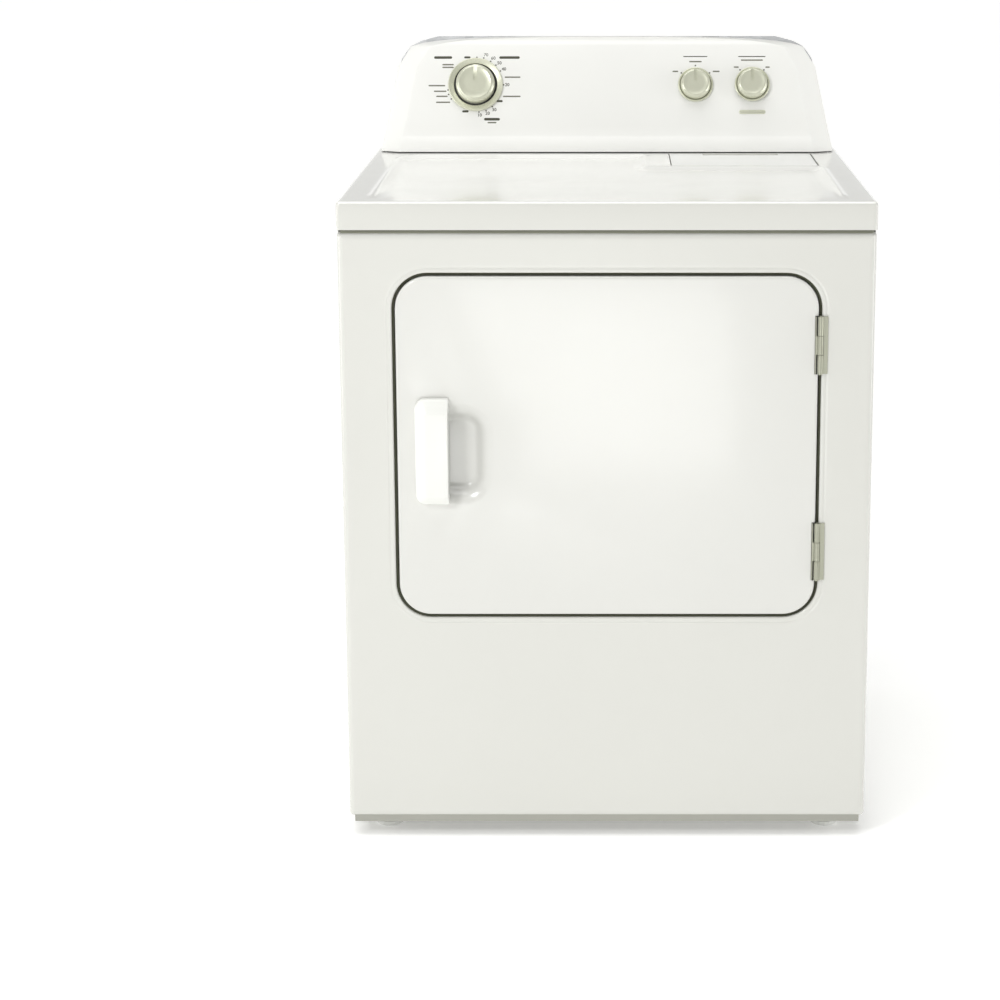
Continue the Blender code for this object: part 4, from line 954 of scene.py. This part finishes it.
def lint_mesh():
    """The fine mesh that fills the bays of the lint screen, on both faces of its blade."""
    left, right = SCREEN_LOW.x + RAIL, SCREEN_HIGH.x - RAIL
    middle = (left + right) / 2
    blade_y = SCREEN_HIGH.y - BLADE_BACK
    bays = ((SCREEN_LOW.z + FRAME_BOTTOM, SCREEN_HIGH.z - RUNG_LOW),
            (SCREEN_HIGH.z - RUNG_HIGH, SCREEN_HIGH.z - FRAME_TOP))
    bm = bmesh.new()
    for x0, x1 in ((left, middle - HALF_RAIL), (middle + HALF_RAIL, right)):
        for z0, z1 in bays:
            for y in (blade_y - BLADE_HALF, blade_y + BLADE_HALF):
                made = bmesh.ops.create_cube(bm, size=1)["verts"]
                bmesh.ops.scale(bm, vec=(x1 - x0, CLOTH, z1 - z0), verts=made)
                bmesh.ops.translate(bm, vec=((x0 + x1) / 2, y, (z0 + z1) / 2), verts=made)
    piece_from(bm, "lint_screen_mesh", LINT_MESH, "lint_screen")


# ---- Screws ----


def screw(name, place, radius):
    """A pan-head screw with a cross recess, facing back."""
    bm = bmesh.new()
    profile = [(radius, 0), (radius, radius * 0.25), (radius * 0.85, radius * 0.5),
               (radius * 0.5, radius * 0.66), (radius * 0.02, radius * 0.7)]
    for rim in add_rings(bm, circles(profile, 24)):
        bm.faces.new(rim)
    turn = Vector((0, 1, 0)).to_track_quat("Z", "Y").to_matrix()
    matrix = Matrix.Translation(place) @ turn.to_4x4()
    bmesh.ops.transform(bm, matrix=matrix, verts=bm.verts)
    head = piece_from(bm, name, SCREW_STEEL, "cabinet")
    for turned in (0, pi / 2):
        bm = bmesh.new()
        bmesh.ops.create_cube(bm, size=1)
        bmesh.ops.scale(bm, vec=(radius * 1.1, radius * 0.22, radius * 0.5), verts=bm.verts)
        slot = Matrix.Rotation(turned, 4, "Z") @ Matrix.Translation((0, 0, radius * 0.68))
        bmesh.ops.transform(bm, matrix=matrix @ slot, verts=bm.verts)
        carve(head, temporary(bm))


def rear_screws():
    """The screws round the rear panel, the console's back and the terminal cover."""
    y = REAR_HIGH.y + 0.0001
    half = REAR_HIGH.x - 0.010
    places = [(side * half, z) for side in (-1, 1) for z in (0.06, 0.30, 0.56, 0.82)]
    places += [(x, 0.862) for x in (-0.18, 0.06)]
    cover_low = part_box("console_rear_cover")[0]
    places += [(side * x, cover_low.z + 0.02) for x in (0.335, 0.16) for side in (-1, 1)]
    for i, (x, z) in enumerate(places):
        screw(f"rear_screw_{i + 1}", (x, y, z), 0.0042)
    low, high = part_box("terminal_block_cover")
    screw("terminal_cover_screw", ((low.x + high.x) / 2, high.y, high.z - 0.012), 0.0036)


# ---- Stage ----


def floor():
    """A wide pale floor that glows a little, so that it meets the white horizon."""
    bm = bmesh.new()
    bmesh.ops.create_grid(bm, x_segments=1, y_segments=1, size=60)
    mesh = mesh_from(bm, "studio_floor")
    obj = added("studio_floor", mesh)
    made = Shading("studio_floor", 0.9, Emission_Color=(1, 1, 1, 1), Emission_Strength=0.26)
    made.colour(made.ramp(made.noise(0.4, 2), ((0.3, (0.93, 0.93, 0.92)), (0.7, (0.95, 0.95, 0.94)))))
    mesh.materials.append(made.material)


def area_light(name, place, target, size, power):
    """A soft rectangular light that faces a point, and is not itself seen."""
    light = bpy.data.lights.new(name, "AREA")
    light.shape = "RECTANGLE"
    light.size, light.size_y = size
    light.energy = power
    obj = added(name, light)
    obj.location = place
    obj.rotation_euler = (Vector(target) - Vector(place)).to_track_quat("-Z", "Y").to_euler()
    obj.visible_camera = False


def faded(tree, value, start, end):
    """A smooth step from 0 to 1 as the value goes from start to end."""
    node = tree.nodes.new("ShaderNodeMapRange")
    node.interpolation_type = "SMOOTHSTEP"
    tree.links.new(value, node.inputs["Value"])
    node.inputs["From Min"].default_value = start
    node.inputs["From Max"].default_value = end
    return node.outputs["Result"]


def mixed(tree, factor, first, second):
    """A mix of two colours, each a socket or a plain colour."""
    node = tree.nodes.new("ShaderNodeMix")
    node.data_type = "RGBA"
    tree.links.new(factor, node.inputs["Factor"])
    for letter, colour in (("A", first), ("B", second)):
        if isinstance(colour, bpy.types.NodeSocket):
            tree.links.new(colour, node.inputs[letter])
        else:
            node.inputs[letter].default_value = (*colour, 1)
    return node.outputs["Result"]


def sky():
    """A soft studio sky, brighter low down behind the machine and white at the horizon."""
    world = bpy.data.worlds.new("studio")
    world.use_nodes = True
    tree = world.node_tree
    axes = tree.nodes.new("ShaderNodeSeparateXYZ")
    tree.links.new(tree.nodes.new("ShaderNodeTexCoord").outputs["Generated"], axes.inputs[0])
    behind = faded(tree, axes.outputs["Y"], 0.25, 0.9)
    both = tree.nodes.new("ShaderNodeMath")
    both.operation = "MULTIPLY"
    tree.links.new(behind, both.inputs[0])
    tree.links.new(faded(tree, axes.outputs["Z"], 0.50, 0.12), both.inputs[1])
    wall = mixed(tree, both.outputs["Value"], (0.34, 0.34, 0.333), (0.50, 0.50, 0.488))
    horizon = faded(tree, axes.outputs["Z"], 0.13, 0.08)
    tree.links.new(mixed(tree, horizon, wall, (1.02, 1.02, 1.01)),
                   tree.nodes["Background"].inputs["Color"])
    bpy.context.scene.world = world


def sun(name, direction, angle, strength):
    """A broad far light from a direction."""
    light = bpy.data.lights.new(name, "SUN")
    light.angle = radians(angle)
    light.energy = strength
    added(name, light).rotation_euler = Vector(direction).to_track_quat("Z", "Y").to_euler()


def stage():
    """Soft light all round, a broad overhead one, a key at the left, a low pool and two edge lights."""
    sky()
    bpy.context.scene.view_settings.view_transform = "Standard"
    sun("overhead", (-0.10, -0.12, 0.98), 50, 1.5)
    middle = (0, 0, 0.6)
    area_light("key", (-1.8, -2.7, 2.3), middle, (0.7, 0.9), 38)
    area_light("front_pool", (-0.05, -2.6, 0.12), (0, -0.3, 0.6), (0.6, 0.6), 4)
    area_light("left_edge", (-2.7, -0.3, 0.9), middle, (0.7, 1.6), 9)
    area_light("right_edge", (2.6, -0.5, 0.9), middle, (0.7, 1.6), 13)
    floor()


CAMERA_DISTANCE, CAMERA_HEIGHT, CAMERA_PITCH = 3.385, 1.358, 12.33


def camera():
    """A long lens a little above the console, looking down at the front."""
    lens = bpy.data.cameras.new("camera")
    lens.sensor_width = 36
    lens.lens = 90.4
    lens.shift_x = -0.1069
    lens.shift_y = -0.085
    lens.clip_end = 200
    obj = added("camera", lens)
    obj.location = (0.0, PANEL_Y - CAMERA_DISTANCE, CAMERA_HEIGHT)
    obj.rotation_euler = (radians(90 - CAMERA_PITCH), 0, 0)
    bpy.context.scene.camera = obj


camera()
stage()
finish_nodes()
front_panel()
top_panel()
console()
door_panel()
door_handle()
gap_shade_strips()
for knob_node in KNOBS:
    knob(knob_node)
printed_marks()
badge()
rear_screws()
lint_mesh()
